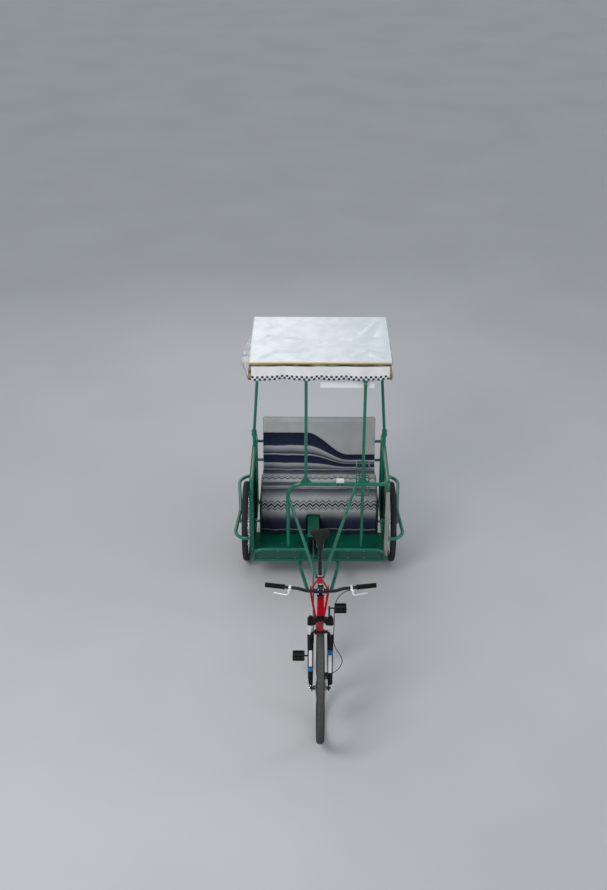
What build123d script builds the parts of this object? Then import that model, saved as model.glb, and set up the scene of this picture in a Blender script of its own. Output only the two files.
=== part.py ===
from build123d import *
from math import acos, atan2, cos, degrees, pi, radians, sin, tan
import os

# A three-wheeled pedicab: a bicycle front with one steered wheel, welded to a tubular cab that
# stands on two wheels. Millimetres. +X points forward, +Y to the vehicle's left, +Z up.

# Overall layout
wheelbase = 2100
track = 1188
front_tyre_radius = 364
front_tyre_width = 54
rear_tyre_radius = 328
rear_tyre_width = 50

# Gaps: pieces seated on one another, shafts running in bores, and parts that pass in motion
seat_gap = 0.3
running_gap = 0.05
face_gap = 0.5

# Steering geometry, measured along the steering axis from the foot of the fork offset
head_angle = 70
fork_offset = 45
leg_offset = 28
crown_bottom = 430
crown_top = 476
crown_arch_radius = 40     # underside of the crown, over the wheel
crown_arch_rise = 26
head_tube_bottom = 480
head_tube_top = 627
stem_gap = 7               # top of the head tube to the stem
stem_column = 58
bar_reach = 70
bar_above_stem = 38        # foot of the stem's column to the bar's middle

# Bicycle frame
steerer_radius = 14.3
head_tube_radius = 23
bottom_bracket_back = 677  # front hub to the crank axle
bottom_bracket_height = 300
bottom_bracket_radius = 21
bottom_bracket_width = 70
seat_tube_angle = 73
seat_tube_length = 430
seat_tube_radius = 16
seat_post_radius = 13.6
top_tube_radius = 17
down_tube_radius = 24
stay_radius = 9
dropout_back = 425         # crank axle to the dropouts of the stays
dropout_height = 360
dropout_half_gap = 68

# Saddle
saddle_height = 985
saddle_nose_ahead = 128
saddle_nose_radius = 20
saddle_waist_ahead = 20
saddle_waist_radius = 26
saddle_hip_behind = 84
saddle_hip_radius = 38
saddle_hip_place = 34
saddle_pad = 36
saddle_pad_bevel = 10
saddle_rail_radius = 4
saddle_rail_length = 110
saddle_rail_place = 22
saddle_yoke = (44, 56, 14)

# Fork
leg_spread = 65
stanchion_radius = 16
leg_top_radius = 22
leg_foot_radius = 17
leg_top = 355
fork_axle_radius = 6
dropout_half_width = 50

# Handlebar and its controls
bar_width = 720
bar_radius = 11.1
bar_clamp_radius = 15.9
bar_sweep = 44
bar_rise = 16
grip_length = 130
grip_radius = 16.5
bar_straight = 90          # middle of the bar to where its rise starts
bar_rise_end = 150
lever_place = 200
lever_clamp_wall = 6
lever_clamp_width = 14
lever_reach = 34
lever_housing_radius = 9
lever_blade_radius = 5
lever_blade_length = 100
lever_bow = 24             # how far the blade stands ahead of its housing

# Drive
crank_length = 170
crank_angle = -45          # right arm, below the horizontal and forward
chain_line = 45            # chain's middle, right of the centre plane
chain_pitch = 12.7
chain_height = 7
chain_inner_width = 5.6
chain_outer_width = 8.4
chainring_teeth = 38
sprocket_teeth = 20
tooth_gap = 3.9            # pitch circle down to the teeth's tips, under the links
spindle_radius = 12
crank_root_radius = 19
crank_tip_radius = 14
crank_arm_inside = 62      # middle plane to the arms' inner faces
crank_arm_thickness = 14
pedal_place = 150
pedal_pin_radius = 6
pedal_width = 86
pedal_length = 92
pedal_height = 22

# Wheels
front_rim_radius = 318
rear_rim_radius = 286
rim_depth = 20
rim_width = 30
spoke_radius = 1.1
spoke_count = 28
disc_radius = 80
disc_place = 39
axle_radius = 10
hub_radius = 17
flange_radius = 31
rear_hub_width = 76

# Cab frame
tube_radius = 15
post_radius = 12
floor_tube = 30
floor_tube_height = 215    # middle of the square floor tubes
floor_thickness = 3
cab_side_gap = 64          # wheels' middle planes to the middle of the corner tubes
toe_ahead = 345            # rear axle to the front corner posts
toe_tube_radius = 13
toe_arch_radius = 12
toe_low = 200
toe_high = 300
rail_height = 890
rail_bend = 60
rail_leg_place = -245      # the rail's leg, beside the entry gap
rail_leg_bend = 110
brace_tops = ((285, 890), (-245, 785))  # side and height where each brace meets the rail
side_post_behind = 250     # rear axle to the side posts
rear_post_behind = 480     # rear axle to the rear uprights
sleeve_height = 1020
sleeve_radius = 20
front_post_places = (-105, 335)
gusset = 55

# Bottle cage
cage_wire = 4
cage_width = 96
cage_depth = 92
cage_low = 775
cage_high = 1030

# Side panels
panel_thickness = 2

# Wheel guards
guard_radius = 14
guard_bulge = 148          # outermost middle of the guard, outside the cab's corner tubes
guard_pinch = 112
guard_low = 385
guard_pinch_height = 425
guard_high = 480
guard_bend = 95
axle_plate_thickness = 6

# Tubes under the floor to the bicycle's dropouts, and bars behind the seat
coupler_radius = 14
coupler_place = 150
coupler_drop = 30
back_bar_radius = 12

# Canopy
canopy_front_ahead = 385
canopy_rear_behind = 450
canopy_side_inset = 22     # middle of the corner tubes to the roof's side edge
canopy_top = 1950
canopy_bottom = 1800
canopy_flare = 35
canopy_wall = 5
canopy_tube_radius = 11
canopy_tube_inset = 40     # canopy's side edge to the tube under it

# Sign board behind the front posts
sign_width = 400
sign_height = 175
sign_drop = 60             # roof to the board's top edge
sign_thickness = 5

# Seat
seat_front_ahead = 38
seat_side_gap = 30         # rear posts to the seat's side
seat_base_top = 500
seat_board = 12
cushion_thickness = 95
back_bottom = 615
back_top = 1068
back_thickness = 60
back_lean = 11
back_round = 18
back_stand_off = 30        # rear uprights to the foot of the back
tunnel_half_width = 45
tunnel_top = 410
blanket_thickness = 4
blanket_side_gap = 20      # seat's side to the blanket's edge
blanket_hem = 250
blanket_up_back = 200

# Places that follow from the sizes above
stem_bottom = head_tube_top + stem_gap
stem_top = stem_bottom + stem_column
bar_height = stem_bottom + bar_above_stem
cab_half_width = track / 2 - cab_side_gap
canopy_half_width = cab_half_width - canopy_side_inset
sign_top = canopy_top - sign_drop
seat_half_width = cab_half_width - tube_radius - seat_side_gap
blanket_half_width = seat_half_width - blanket_side_gap
canopy_tube_place = canopy_half_width - canopy_tube_inset
back_turn = radians(back_lean)
back_height = back_top - back_bottom
back_foot_behind = rear_post_behind - tube_radius - back_stand_off - back_thickness
back_middle_behind = back_foot_behind + back_thickness / 2 + back_height / 2 * sin(back_turn)
back_reach = (
    (back_thickness / 2 - back_round) * cos(back_turn)
    + (back_height / 2 - back_round) * sin(back_turn)
    + back_round
)
rear_overhang = max(back_middle_behind + back_reach, canopy_rear_behind)
overall_length = front_tyre_radius + wheelbase + rear_overhang
front_axle_x = overall_length / 2 - front_tyre_radius
rear_axle_x = front_axle_x - wheelbase
back_bar_heights = (back_bottom + 20, rail_height - 75)
post_x = rear_axle_x + toe_ahead
toe_x = post_x + tube_radius + panel_thickness + toe_tube_radius + 2 * seat_gap
seat_front_x = rear_axle_x + seat_front_ahead
side_post_x = rear_axle_x - side_post_behind
rear_post_x = rear_axle_x - rear_post_behind
floor_bottom = floor_tube_height + floor_tube / 2
floor_top = floor_bottom + floor_thickness
crank_x = front_axle_x - bottom_bracket_back
chainring_radius = chain_pitch / (2 * sin(pi / chainring_teeth))
sprocket_radius = chain_pitch / (2 * sin(pi / sprocket_teeth))
dropout_x = crank_x - dropout_back

lean = radians(head_angle)
steer_up = Vector(-cos(lean), 0, sin(lean))
steer_ahead = Vector(sin(lean), 0, cos(lean))
steer_foot = Vector(front_axle_x, 0, front_tyre_radius) - steer_ahead * fork_offset
steering = Plane(origin=steer_foot, x_dir=steer_ahead, z_dir=steer_up)


def steer_point(ahead, side, up):
    """A point ahead of the steering axis, to its left, and up along it."""
    return steer_foot + steer_ahead * ahead + Vector(0, side, 0) + steer_up * up


def rod(points, radius, bends=None):
    """A round bar along straight runs, joined by tangent arcs where bends are given."""
    corners = [Vector(*point) for point in points]
    path = Polyline(*corners) if bends is None else FilletPolyline(*corners, radius=bends)
    return sweep(Plane(origin=path @ 0, z_dir=path % 0) * Circle(radius), path=path)


def cross_bar(x, z, half_length, radius):
    """A round bar across the vehicle, centred on its middle plane."""
    return Pos(x, 0, z) * Rot(90, 0, 0) * Cylinder(radius, 2 * half_length)


def ring_y(x, y, z, outer, inner, width):
    """A flat ring or tube whose axis runs across the vehicle."""
    ring = Circle(outer) - Circle(inner) if inner else Circle(outer)
    return Pos(x, y, z) * Rot(90, 0, 0) * extrude(ring, width / 2, both=True)


def mirrored(solid):
    """The same piece on the other side of the vehicle's middle plane."""
    return mirror(solid, Plane.XZ)


def block(x_range, y_range, z_range):
    """A box between pairs of limits."""
    size = [high - low for low, high in (x_range, y_range, z_range)]
    middle = [(high + low) / 2 for low, high in (x_range, y_range, z_range)]
    return Pos(*middle) * Box(*size)


# Wheels


def tyre(x, y, radius, width, rim_radius):
    """A round tyre seated on its rim, with a flattened crown."""
    half = width / 2
    bead = rim_width / 2 - 3
    shoulder = radius - width * 0.35
    with BuildSketch(Plane.XZ) as section:
        with BuildLine():
            Polyline((rim_radius + seat_gap, -bead), (rim_radius + seat_gap, bead))
            ThreePointArc((rim_radius + seat_gap, bead), (shoulder - 4, half), (radius - 5, half * 0.55))
            ThreePointArc((radius - 5, half * 0.55), (radius, 0), (radius - 5, -half * 0.55))
            ThreePointArc((radius - 5, -half * 0.55), (shoulder - 4, -half), (rim_radius + seat_gap, -bead))
        make_face()
    ring = revolve(section.sketch, Axis.Z, 360)
    return Pos(x, y, radius) * Rot(90, 0, 0) * ring


def spoked_wheel(x, y, axle_z, rim_radius, hub_half, flange_half, bore):
    """Rim, crossed spokes and hub with two flanges, bored for its axle."""
    rim = ring_y(x, y, axle_z, rim_radius, rim_radius - rim_depth, rim_width)
    hub = ring_y(x, y, axle_z, hub_radius, bore, 2 * hub_half)
    for side in (-1, 1):
        hub += ring_y(x, y + side * flange_half, axle_z, flange_radius, bore, 4)
    spokes = []
    for number in range(spoke_count):
        side = 1 if number % 2 else -1
        start_turn = 360 / spoke_count * number
        cross = 55 if number // 2 % 2 else -55
        inner = Vector(flange_radius - 4, 0, 0).rotate(Axis.Z, start_turn + cross)
        outer = Vector(rim_radius - rim_depth + 2, 0, 0).rotate(Axis.Z, start_turn)
        start = Vector(inner.X, side * flange_half, inner.Y)
        end = Vector(outer.X, side * 5, outer.Y)
        line = Line(start, end)
        flat = Plane(origin=start, z_dir=line % 0) * Rectangle(2 * spoke_radius, 2 * spoke_radius)
        spokes.append(Pos(x, y, axle_z) * extrude(flat, line.length, dir=line % 0))
    return rim + hub + spokes


def front_wheel():
    wheel = spoked_wheel(
        front_axle_x, 0, front_tyre_radius, front_rim_radius, dropout_half_width - face_gap, 30,
        fork_axle_radius + running_gap,
    )
    disc = ring_y(front_axle_x, disc_place, front_tyre_radius, disc_radius, fork_axle_radius + 1, 2)
    windows = [
        Pos(front_axle_x, disc_place, front_tyre_radius) * Rot(0, turn, 0)
        * Pos(disc_radius * 0.62, 0, 0) * Rot(90, 0, 0) * Cylinder(13, 6)
        for turn in range(0, 360, 45)
    ]
    return wheel + (disc - windows)


def rear_wheel(side, bore):
    return spoked_wheel(
        rear_axle_x, side * track / 2, rear_tyre_radius, rear_rim_radius, rear_hub_width / 2, 28, bore
    )


# Steering


def fork_upper():
    """Steerer, crown and the two stanchions."""
    back, ahead, reach = leg_offset - 18, leg_offset + 18, leg_spread + 10
    arms = Polygon(
        (-head_tube_radius + 4, 0), (back, -reach), (ahead, -reach),
        (leg_offset + 12, 0), (ahead, reach), (back, reach), align=None,
    )
    ends = [Pos(leg_offset, side * leg_spread) * Circle(leg_top_radius) for side in (-1, 1)]
    outline = Circle(head_tube_radius + 2) + arms + ends
    crown = Pos(0, 0, crown_bottom) * extrude(outline, crown_top - crown_bottom)
    arch_height = crown_bottom + crown_arch_rise - crown_arch_radius
    arch = Pos(leg_offset / 2, 0, arch_height) * Rot(0, 90, 0) * Cylinder(crown_arch_radius, 120)
    steerer_length = stem_top - crown_top
    steerer = Pos(0, 0, crown_top + steerer_length / 2) * Cylinder(steerer_radius, steerer_length)
    race = Pos(0, 0, crown_top + 1) * Cylinder(head_tube_radius, 2)
    fork = crown - arch + steerer + race
    stanchion_foot = leg_top - 60
    length = crown_bottom - stanchion_foot
    for side in (-1, 1):
        middle = Pos(leg_offset, side * leg_spread, stanchion_foot + length / 2)
        cap = Pos(leg_offset, side * leg_spread, crown_top + 3) * Cylinder(stanchion_radius, 6)
        fork += [middle * Cylinder(stanchion_radius, length), cap]
    return steering * fork


def fork_lowers():
    """Legs with blind bores, brace over the tyre, dropouts and the wheel's axle."""
    legs = []
    foot = 30
    for side in (-1, 1):
        leg = Pos(leg_offset, side * leg_spread, (leg_top + foot) / 2) * Cone(
            leg_foot_radius, leg_top_radius, leg_top - foot
        )
        end = Pos(leg_offset, side * leg_spread, foot) * Sphere(leg_foot_radius)
        lug = Pos(fork_offset - 6, side * (dropout_half_width + 5), 8) * Box(34, 10, 52)
        bore = Pos(leg_offset, side * leg_spread, leg_top - 30) * Cylinder(
            stanchion_radius + seat_gap, 61
        )
        legs += [leg + end + lug - bore]
    brace_height = front_tyre_radius + 14
    brace = rod(
        [
            (leg_offset + 14, -leg_spread, leg_top - 22),
            (leg_offset + 34, -leg_spread + 8, brace_height + 12),
            (leg_offset + 34, leg_spread - 8, brace_height + 12),
            (leg_offset + 14, leg_spread, leg_top - 22),
        ],
        8,
        24,
    )
    axle = Pos(fork_offset, 0, 0) * Rot(90, 0, 0) * Cylinder(fork_axle_radius, 2 * dropout_half_width)
    nuts = [
        Pos(fork_offset, side * (dropout_half_width + 14), 0) * Rot(90, 0, 0) * Cylinder(9, 8)
        for side in (-1, 1)
    ]
    lowers = legs[0] + legs[1] + axle + nuts
    bores = [
        Pos(leg_offset, side * leg_spread, leg_top) * Cylinder(stanchion_radius + seat_gap, 120)
        for side in (-1, 1)
    ]
    return steering * (lowers + (brace - bores))


def stem():
    """Clamp on the steerer, short arm, and clamp round the bar."""
    height = stem_top - stem_bottom
    column = Pos(0, 0, stem_bottom + height / 2) * Cylinder(20, height)
    cap = Pos(0, 0, stem_top + 3) * Cylinder(17, 6)
    arm = Pos(bar_reach / 2, 0, bar_height) * Rot(0, 90, 0) * Cylinder(16, bar_reach)
    ring = Pos(bar_reach, 0, bar_height) * Rot(90, 0, 0) * Cylinder(22, 46)
    bore = Pos(0, 0, stem_bottom + height / 2 - 1) * Cylinder(steerer_radius + seat_gap / 2, height + 2)
    bar_bore = Pos(bar_reach, 0, bar_height) * Rot(90, 0, 0) * Cylinder(bar_clamp_radius + seat_gap / 2, 60)
    return steering * (column + arm + ring - bore + cap - bar_bore)


def bar_points():
    """The left half of the bar, from its middle to its end."""
    middle = steer_point(bar_reach, 0, bar_height)
    return [
        middle,
        middle + Vector(0, bar_straight, 0),
        middle + Vector(-6, bar_rise_end, bar_rise),
        middle + Vector(-bar_sweep, bar_width / 2, bar_rise),
    ]


def handlebar():
    """A flat bar, thick in the clamp, with a small rise and a backward sweep."""
    left = rod(bar_points(), bar_radius, [60, 60])
    middle = steer_point(bar_reach, 0, bar_height)
    thick = ring_y(middle.X, 0, middle.Z, bar_clamp_radius, 0, bar_straight)
    return left + mirrored(left) + thick


def grip_axis():
    """Where the left grip's outer end lies, and the way along it towards the middle."""
    points = bar_points()
    return points[3], (points[2] - points[3]).normalized()


def grips():
    end, inward = grip_axis()
    plane = Plane(origin=end, z_dir=inward)
    sleeve = plane * Pos(0, 0, grip_length / 2 - 4) * Cylinder(grip_radius, grip_length)
    sleeve -= plane * Pos(0, 0, grip_length / 2) * Cylinder(bar_radius + seat_gap / 2, grip_length)
    return [sleeve, mirrored(sleeve)]


def brake_levers():
    """A clamp on the bar, a lever housing ahead of it and a curved blade, one for each hand."""
    end, inward = grip_axis()
    outward = inward * -1
    at = end + inward * ((end.Y - lever_place) / abs(inward.Y))
    plane = Plane(origin=at, z_dir=inward)
    clamp = plane * Cylinder(bar_radius + lever_clamp_wall, lever_clamp_width)
    drop = Vector(1, 0, -0.35).normalized()
    housing = rod([at + drop * bar_radius, at + drop * lever_reach + outward * 14], lever_housing_radius)
    blade_start = at + drop * (lever_reach + 4) + outward * 8
    blade = rod(
        [
            blade_start,
            blade_start + outward * 10 + drop * lever_bow,
            blade_start + outward * lever_blade_length + drop * (lever_bow - 8),
        ],
        lever_blade_radius,
        14,
    )
    bore = plane * Cylinder(bar_radius + seat_gap / 2, 4 * lever_clamp_width)
    lever = clamp + housing + blade - bore
    return [lever, mirrored(lever)]


def caliper():
    """Brake caliper behind the left leg, slotted for the disc."""
    body = Pos(-14, disc_place + 4, 62) * Box(34, 30, 44)
    body = fillet(body.edges().filter_by(Axis.Y), 8)
    slot = Pos(fork_offset, disc_place, 0) * Rot(90, 0, 0) * Cylinder(disc_radius + 3, 5)
    leg = Pos(leg_offset, leg_spread, 180) * Cylinder(leg_top_radius + seat_gap, 400)
    return steering * (body - slot - leg)


hose_route = [
    (80, 194.4, 681), (86, 162, 676), (88, 130, 654), (80, 105, 618), (69, 94, 572), (60, 89, 522),
    (54, 91, 470), (50, 89, 415), (48, 86, 360), (47, 88, 310), (43, 102, 268), (34, 128, 232),
    (22, 147, 190), (6, 142, 146), (-8, 118, 108), (-14, 90, 84), (-14, 58.9, 76),
]
hose_radius = 2.5


def brake_hose():
    """Brake hose from the left lever past the crown to the caliper, looping out beside the leg."""
    points = [steer_point(*point) for point in hose_route]
    runs = [(second - first).length for first, second in zip(points, points[1:])]
    bends = []
    for number in range(1, len(points) - 1):
        before, after = runs[number - 1], runs[number]
        turn = (points[number] - points[number - 1]).get_angle(points[number + 1] - points[number])
        half = radians(turn / 2)
        bends.append(0.45 * min(before, after) * cos(half) / sin(half))
    print("hose radii", [round(bend) for bend in bends])
    return rod(points, hose_radius, bends)


# Bicycle frame


def seat_tube_point(along):
    """A point on the seat tube's axis, from the crank axle."""
    slope = radians(seat_tube_angle)
    return Vector(crank_x - along * cos(slope), 0, bottom_bracket_height + along * sin(slope))


def bike_frame():
    """Head tube, main triangle, stays and dropouts."""
    head_length = head_tube_top - head_tube_bottom
    head_middle = (head_tube_top + head_tube_bottom) / 2
    head = steering * Pos(0, 0, head_middle) * Cylinder(head_tube_radius, head_length)
    crank_axle = Vector(crank_x, 0, bottom_bracket_height)
    seat_top = seat_tube_point(seat_tube_length)
    seat_joint = seat_tube_point(seat_tube_length - 35)
    frame = head + rod([steer_point(0, 0, head_tube_top - 30), seat_joint], top_tube_radius)
    frame += rod([steer_point(0, 0, head_tube_bottom + 55), crank_axle], down_tube_radius)
    frame += rod([crank_axle, seat_top], seat_tube_radius)
    frame += ring_y(crank_x, 0, bottom_bracket_height, bottom_bracket_radius, 0, bottom_bracket_width)
    for side in (-1, 1):
        dropout = Vector(dropout_x, side * dropout_half_gap, dropout_height)
        frame += rod([crank_axle + Vector(-20, side * 14, 0), dropout], stay_radius)
        frame += rod([seat_joint + Vector(0, side * 12, 0), dropout], stay_radius - 2)
        plate = Pos(*dropout) * Rot(0, 0, 0) * Box(56, 8, 50)
        frame += fillet(plate.edges().filter_by(Axis.Y), 12)
    frame -= steering * Pos(0, 0, head_middle) * Cylinder(steerer_radius + running_gap, head_length + 40)
    post_direction = (seat_top - crank_axle).normalized()
    post_bore = Plane(origin=seat_top, z_dir=post_direction)
    frame -= post_bore * Pos(0, 0, -60) * Cylinder(seat_post_radius + seat_gap / 2, 124)
    return frame - ring_y(crank_x, 0, bottom_bracket_height, spindle_radius + running_gap, 0, 200)


def hull_of(shapes):
    """The outline that wraps some flat shapes."""
    return make_hull(Sketch(children=shapes).edges())


def saddle():
    """Padded saddle on rails, with its post in the seat tube."""
    foot = seat_tube_point(seat_tube_length - 115)
    pad_bottom = saddle_height - saddle_pad
    rail_drop = 3 * saddle_rail_radius
    top_height = pad_bottom - rail_drop + saddle_rail_radius
    top = seat_tube_point((top_height - bottom_bracket_height) / sin(radians(seat_tube_angle)))
    post = rod([foot, top], seat_post_radius)
    nose = Pos(saddle_nose_ahead, 0) * Circle(saddle_nose_radius)
    waist = Pos(saddle_waist_ahead, 0) * Circle(saddle_waist_radius)
    hips = [Pos(-saddle_hip_behind, side * saddle_hip_place) * Circle(saddle_hip_radius) for side in (-1, 1)]
    outline = hull_of([nose, waist]) + hull_of([waist] + hips)
    pad = extrude(outline, saddle_pad)
    pad = chamfer(pad.edges().group_by(Axis.Z)[-1], saddle_pad_bevel)
    rails = []
    for side in (-1, 1):
        place = side * saddle_rail_place
        rails.append(Pos(0, place, -rail_drop) * Rot(0, 90, 0) * Cylinder(saddle_rail_radius, saddle_rail_length))
        for x in (-saddle_rail_length / 2, saddle_rail_length / 2):
            rails.append(Pos(x, place, -rail_drop / 2) * Cylinder(saddle_rail_radius, rail_drop + 2))
    yoke = Pos(0, 0, -rail_drop - saddle_rail_radius) * Box(*saddle_yoke)
    return Pos(top.X, 0, pad_bottom) * (pad + rails + yoke) + post


def crankset():
    """Spindle, chainring with teeth, and two arms with the pedals' pins."""
    spindle_half = crank_arm_inside + crank_arm_thickness / 2
    crank = ring_y(crank_x, 0, bottom_bracket_height, spindle_radius, 0, 2 * spindle_half)
    window = Pos((chainring_radius + spindle_radius) / 2, 0, 0) * Box(0.44 * chainring_radius, 22, 10)
    ring = toothed(chainring_radius - tooth_gap, chainring_teeth, 3)
    ring -= [Rot(0, 0, turn) * window for turn in range(0, 360, 72)]
    crank += Pos(crank_x, -chain_line, bottom_bracket_height) * Rot(90, 0, 0) * ring
    pin_length = pedal_place - crank_arm_inside
    for side, turn in ((-1, crank_angle), (1, crank_angle + 180)):
        outline = hull_of([Circle(crank_root_radius), Pos(crank_length, 0) * Circle(crank_tip_radius)])
        arm = Pos(0, 0, crank_arm_inside) * extrude(outline, crank_arm_thickness)
        arm += Pos(crank_length, 0, crank_arm_inside + pin_length / 2) * Cylinder(pedal_pin_radius, pin_length)
        upright = Rot(90, 0, 0) if side < 0 else Rot(-90, 0, 0)
        crank += Pos(crank_x, 0, bottom_bracket_height) * Rot(0, -turn, 0) * upright * arm
    return crank


def toothed(tip_radius, teeth, thickness):
    """A sprocket blank with a tooth under each link."""
    root_radius = tip_radius - 4.5
    blank = Circle(root_radius)
    tooth = Polygon((-3, 0), (3, 0), (1.5, 5.3), (-1.5, 5.3), align=None)
    blank += [Rot(0, 0, 360 / teeth * number) * Pos(0, root_radius - 0.8) * tooth for number in range(teeth)]
    return extrude(blank, thickness / 2, both=True)


def pedal(side):
    """Cage pedal that turns on the pin of its crank arm."""
    turn = radians(crank_angle) + (pi if side > 0 else 0)
    x = crank_x + crank_length * cos(turn)
    z = bottom_bracket_height + crank_length * sin(turn)
    cage = Box(pedal_length, pedal_width, pedal_height)
    for way in (-1, 1):
        cage -= Pos(way * 0.29 * pedal_length, 0, 0) * Box(0.24 * pedal_length, pedal_width - 20, 2 * pedal_height)
    corners = cage.edges().filter_by(Axis.Z).filter_by(lambda edge: abs(edge.center().X) > 0.45 * pedal_length)
    pin = ring_y(x, side * (pedal_place - pedal_width / 2), z, pedal_pin_radius + running_gap, 0, pedal_width + 4)
    return Pos(x, side * pedal_place, z) * fillet(corners, 8) - pin


def chain():
    """Closed chain: inner links as a band round chainring and sprocket, outer links over it."""
    big, small = chainring_radius, sprocket_radius
    span = Vector(rear_axle_x - crank_x, rear_tyre_radius - bottom_bracket_height, 0)
    spread = acos((big - small) / span.length)
    straight = (span.length**2 - (big - small) ** 2) ** 0.5
    wrap_big = big * 2 * (pi - spread)
    wrap_small = small * 2 * spread
    outlines = [
        hull_of([Circle(big + grow), Pos(span.length, 0) * Circle(small + grow)])
        for grow in (chain_height / 2, -chain_height / 2)
    ]
    band = outlines[0] - outlines[1]
    total = 2 * straight + wrap_big + wrap_small
    links = round(total / chain_pitch / 2)
    plates = []
    for number in range(links):
        along = total * number / links
        if along < straight:
            start = Vector(big * cos(spread), big * sin(spread))
            place = start + Vector(sin(spread), -cos(spread)) * along
            heading = spread - pi / 2
        elif along < straight + wrap_small:
            heading = spread - pi / 2 - (along - straight) / small
            place = Vector(span.length, 0) + Vector(-sin(heading), cos(heading)) * small
        elif along < 2 * straight + wrap_small:
            heading = -spread - pi / 2
            start = Vector(span.length + small * cos(spread), -small * sin(spread))
            place = start + Vector(cos(heading), sin(heading)) * (along - straight - wrap_small)
        else:
            heading = -spread - pi / 2 - (along - 2 * straight - wrap_small) / big
            place = Vector(-sin(heading), cos(heading)) * big
        plate = Rectangle(chain_pitch - 1.5, 2 * chain_height)
        plates.append(Pos(place.X, place.Y) * Rot(0, 0, degrees(heading)) * plate)
    tilt = degrees(atan2(span.Y, span.X))
    loop = Pos(0, 0, -chain_inner_width / 2) * extrude(band, chain_inner_width)
    loop += Pos(0, 0, -chain_outer_width / 2) * extrude(band & Sketch(children=plates), chain_outer_width)
    loop = Rot(0, 0, tilt) * loop
    return Pos(crank_x, -chain_line, bottom_bracket_height) * Rot(90, 0, 0) * loop


def axle():
    """Cross axle with its sprocket and end nuts."""
    reach = track / 2 + rear_hub_width / 2 + 26
    bar = ring_y(rear_axle_x, 0, rear_tyre_radius, axle_radius, 0, 2 * reach)
    sprocket = toothed(sprocket_radius - tooth_gap, sprocket_teeth, 3)
    boss = ring_y(rear_axle_x, -chain_line - 12, rear_tyre_radius, 22, 0, 20)
    for side in (-1, 1):
        bar += ring_y(rear_axle_x, side * (reach - 5), rear_tyre_radius, 16, 0, 10)
    sprocket = Pos(rear_axle_x, -chain_line, rear_tyre_radius) * Rot(90, 0, 0) * sprocket
    return bar + sprocket + boss


# Cab


def chassis():
    """Square-tube floor frame, corner posts, axle bearings and the tubes to the bicycle's dropouts."""
    half = floor_tube / 2
    outer = cab_half_width + half
    low, high = floor_tube_height - half, floor_tube_height + half
    front = post_x + half
    seat_cross = seat_front_x - 20
    dropout_face = dropout_half_gap + stay_radius + seat_gap
    bars = [
        ((rear_post_x - half, front), (cab_half_width - half, outer)),
        ((rear_post_x - half, front), (-outer, -cab_half_width + half)),
        ((front - floor_tube, front), (-outer, outer)),
        ((seat_cross, seat_cross + floor_tube), (-outer, outer)),
        ((rear_post_x - half, rear_post_x + half), (-outer, outer)),
    ]
    frame = block(*bars[0], (low, high))
    for x_range, y_range in bars[1:]:
        frame += block(x_range, y_range, (low, high))
    for side in (-1, 1):
        post_y = side * cab_half_width
        frame += rod([(rear_post_x, post_y, high), (rear_post_x, post_y, rail_height - 60)], tube_radius)
        bearing = block((rear_axle_x - 26, rear_axle_x + 26), (post_y - 10, post_y + 10), (high, rear_tyre_radius))
        bearing += ring_y(rear_axle_x, post_y, rear_tyre_radius, 26, 0, 28)
        frame += bearing - ring_y(rear_axle_x, post_y, rear_tyre_radius, axle_radius + running_gap, 0, 80)
        under = low - coupler_drop
        frame += rod(
            [
                (seat_cross, side * coupler_place, under),
                (toe_x + 60, side * coupler_place, under),
                (dropout_x + 10, side * (dropout_face + coupler_radius - 4), dropout_height),
            ],
            coupler_radius,
            200,
        )
        for x in (seat_cross, front - floor_tube):
            frame += block((x, x + floor_tube), (side * coupler_place - 6, side * coupler_place + 6), (under, low))
    for height in back_bar_heights:
        frame += cross_bar(rear_post_x, height, cab_half_width, back_bar_radius)
    return frame - block(
        (dropout_x - 80, dropout_x + 80), (-dropout_face, dropout_face), (dropout_height - 80, dropout_height + 80)
    )


def floor():
    """Sheet floor with the chain tunnel down its middle."""
    half_width = cab_half_width + floor_tube / 2
    front = post_x + floor_tube / 2
    back = seat_front_x - 9
    sheet = block((back, front), (-half_width, half_width), (floor_bottom, floor_top))
    y_low, y_high = -chain_line - tunnel_half_width, -chain_line + tunnel_half_width
    tunnel_back = seat_front_x + seat_gap
    outer = block((tunnel_back, front), (y_low, y_high), (floor_bottom, tunnel_top))
    inner = block((tunnel_back - 50, front + 9), (y_low + 3, y_high - 3), (floor_top, tunnel_top - 3))
    return sheet + outer - inner


def toe_board():
    """Sheet between a low tube and a high tube whose ends arch down to it, open at the tunnel."""
    half = cab_half_width - 15
    board = cross_bar(toe_x, toe_low, half + toe_tube_radius, toe_tube_radius)
    board += rod(
        [(toe_x, -half, toe_low), (toe_x, -half, toe_high), (toe_x, half, toe_high), (toe_x, half, toe_low)],
        toe_arch_radius,
        60,
    )
    board += block((toe_x - 1.5, toe_x + 1.5), (-half, half), (toe_low, toe_high - 3))
    gate = block(
        (toe_x - 40, toe_x + 40),
        (-chain_line - tunnel_half_width - seat_gap, -chain_line + tunnel_half_width + seat_gap),
        (toe_low + toe_tube_radius + 2, toe_high + 40),
    )
    for y in (-420, 150, 420):
        board += block((post_x + floor_tube / 2 + seat_gap, toe_x), (y - 12, y + 12), (toe_low - 3, toe_low + 9))
    return board - gate


def front_rail(grow=0):
    """Leg beside the entry gap, rail across the front, and arm rail back along the left side."""
    path = [
        (post_x, rail_leg_place, floor_top),
        (post_x, rail_leg_place, rail_height),
        (post_x, cab_half_width, rail_height),
        (rear_post_x, cab_half_width, rail_height),
        (rear_post_x, cab_half_width, rail_height - 60),
    ]
    return rod(path, tube_radius + grow, [rail_leg_bend, rail_bend, 45])


def side_rail(grow=0):
    """Corner post and arm rail on the right side, where the entry gap is."""
    path = [
        (post_x, -cab_half_width, floor_top),
        (post_x, -cab_half_width, rail_height),
        (rear_post_x, -cab_half_width, rail_height),
        (rear_post_x, -cab_half_width, rail_height - 60),
    ]
    return rod(path, tube_radius + grow, [rail_bend, 45])


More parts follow.
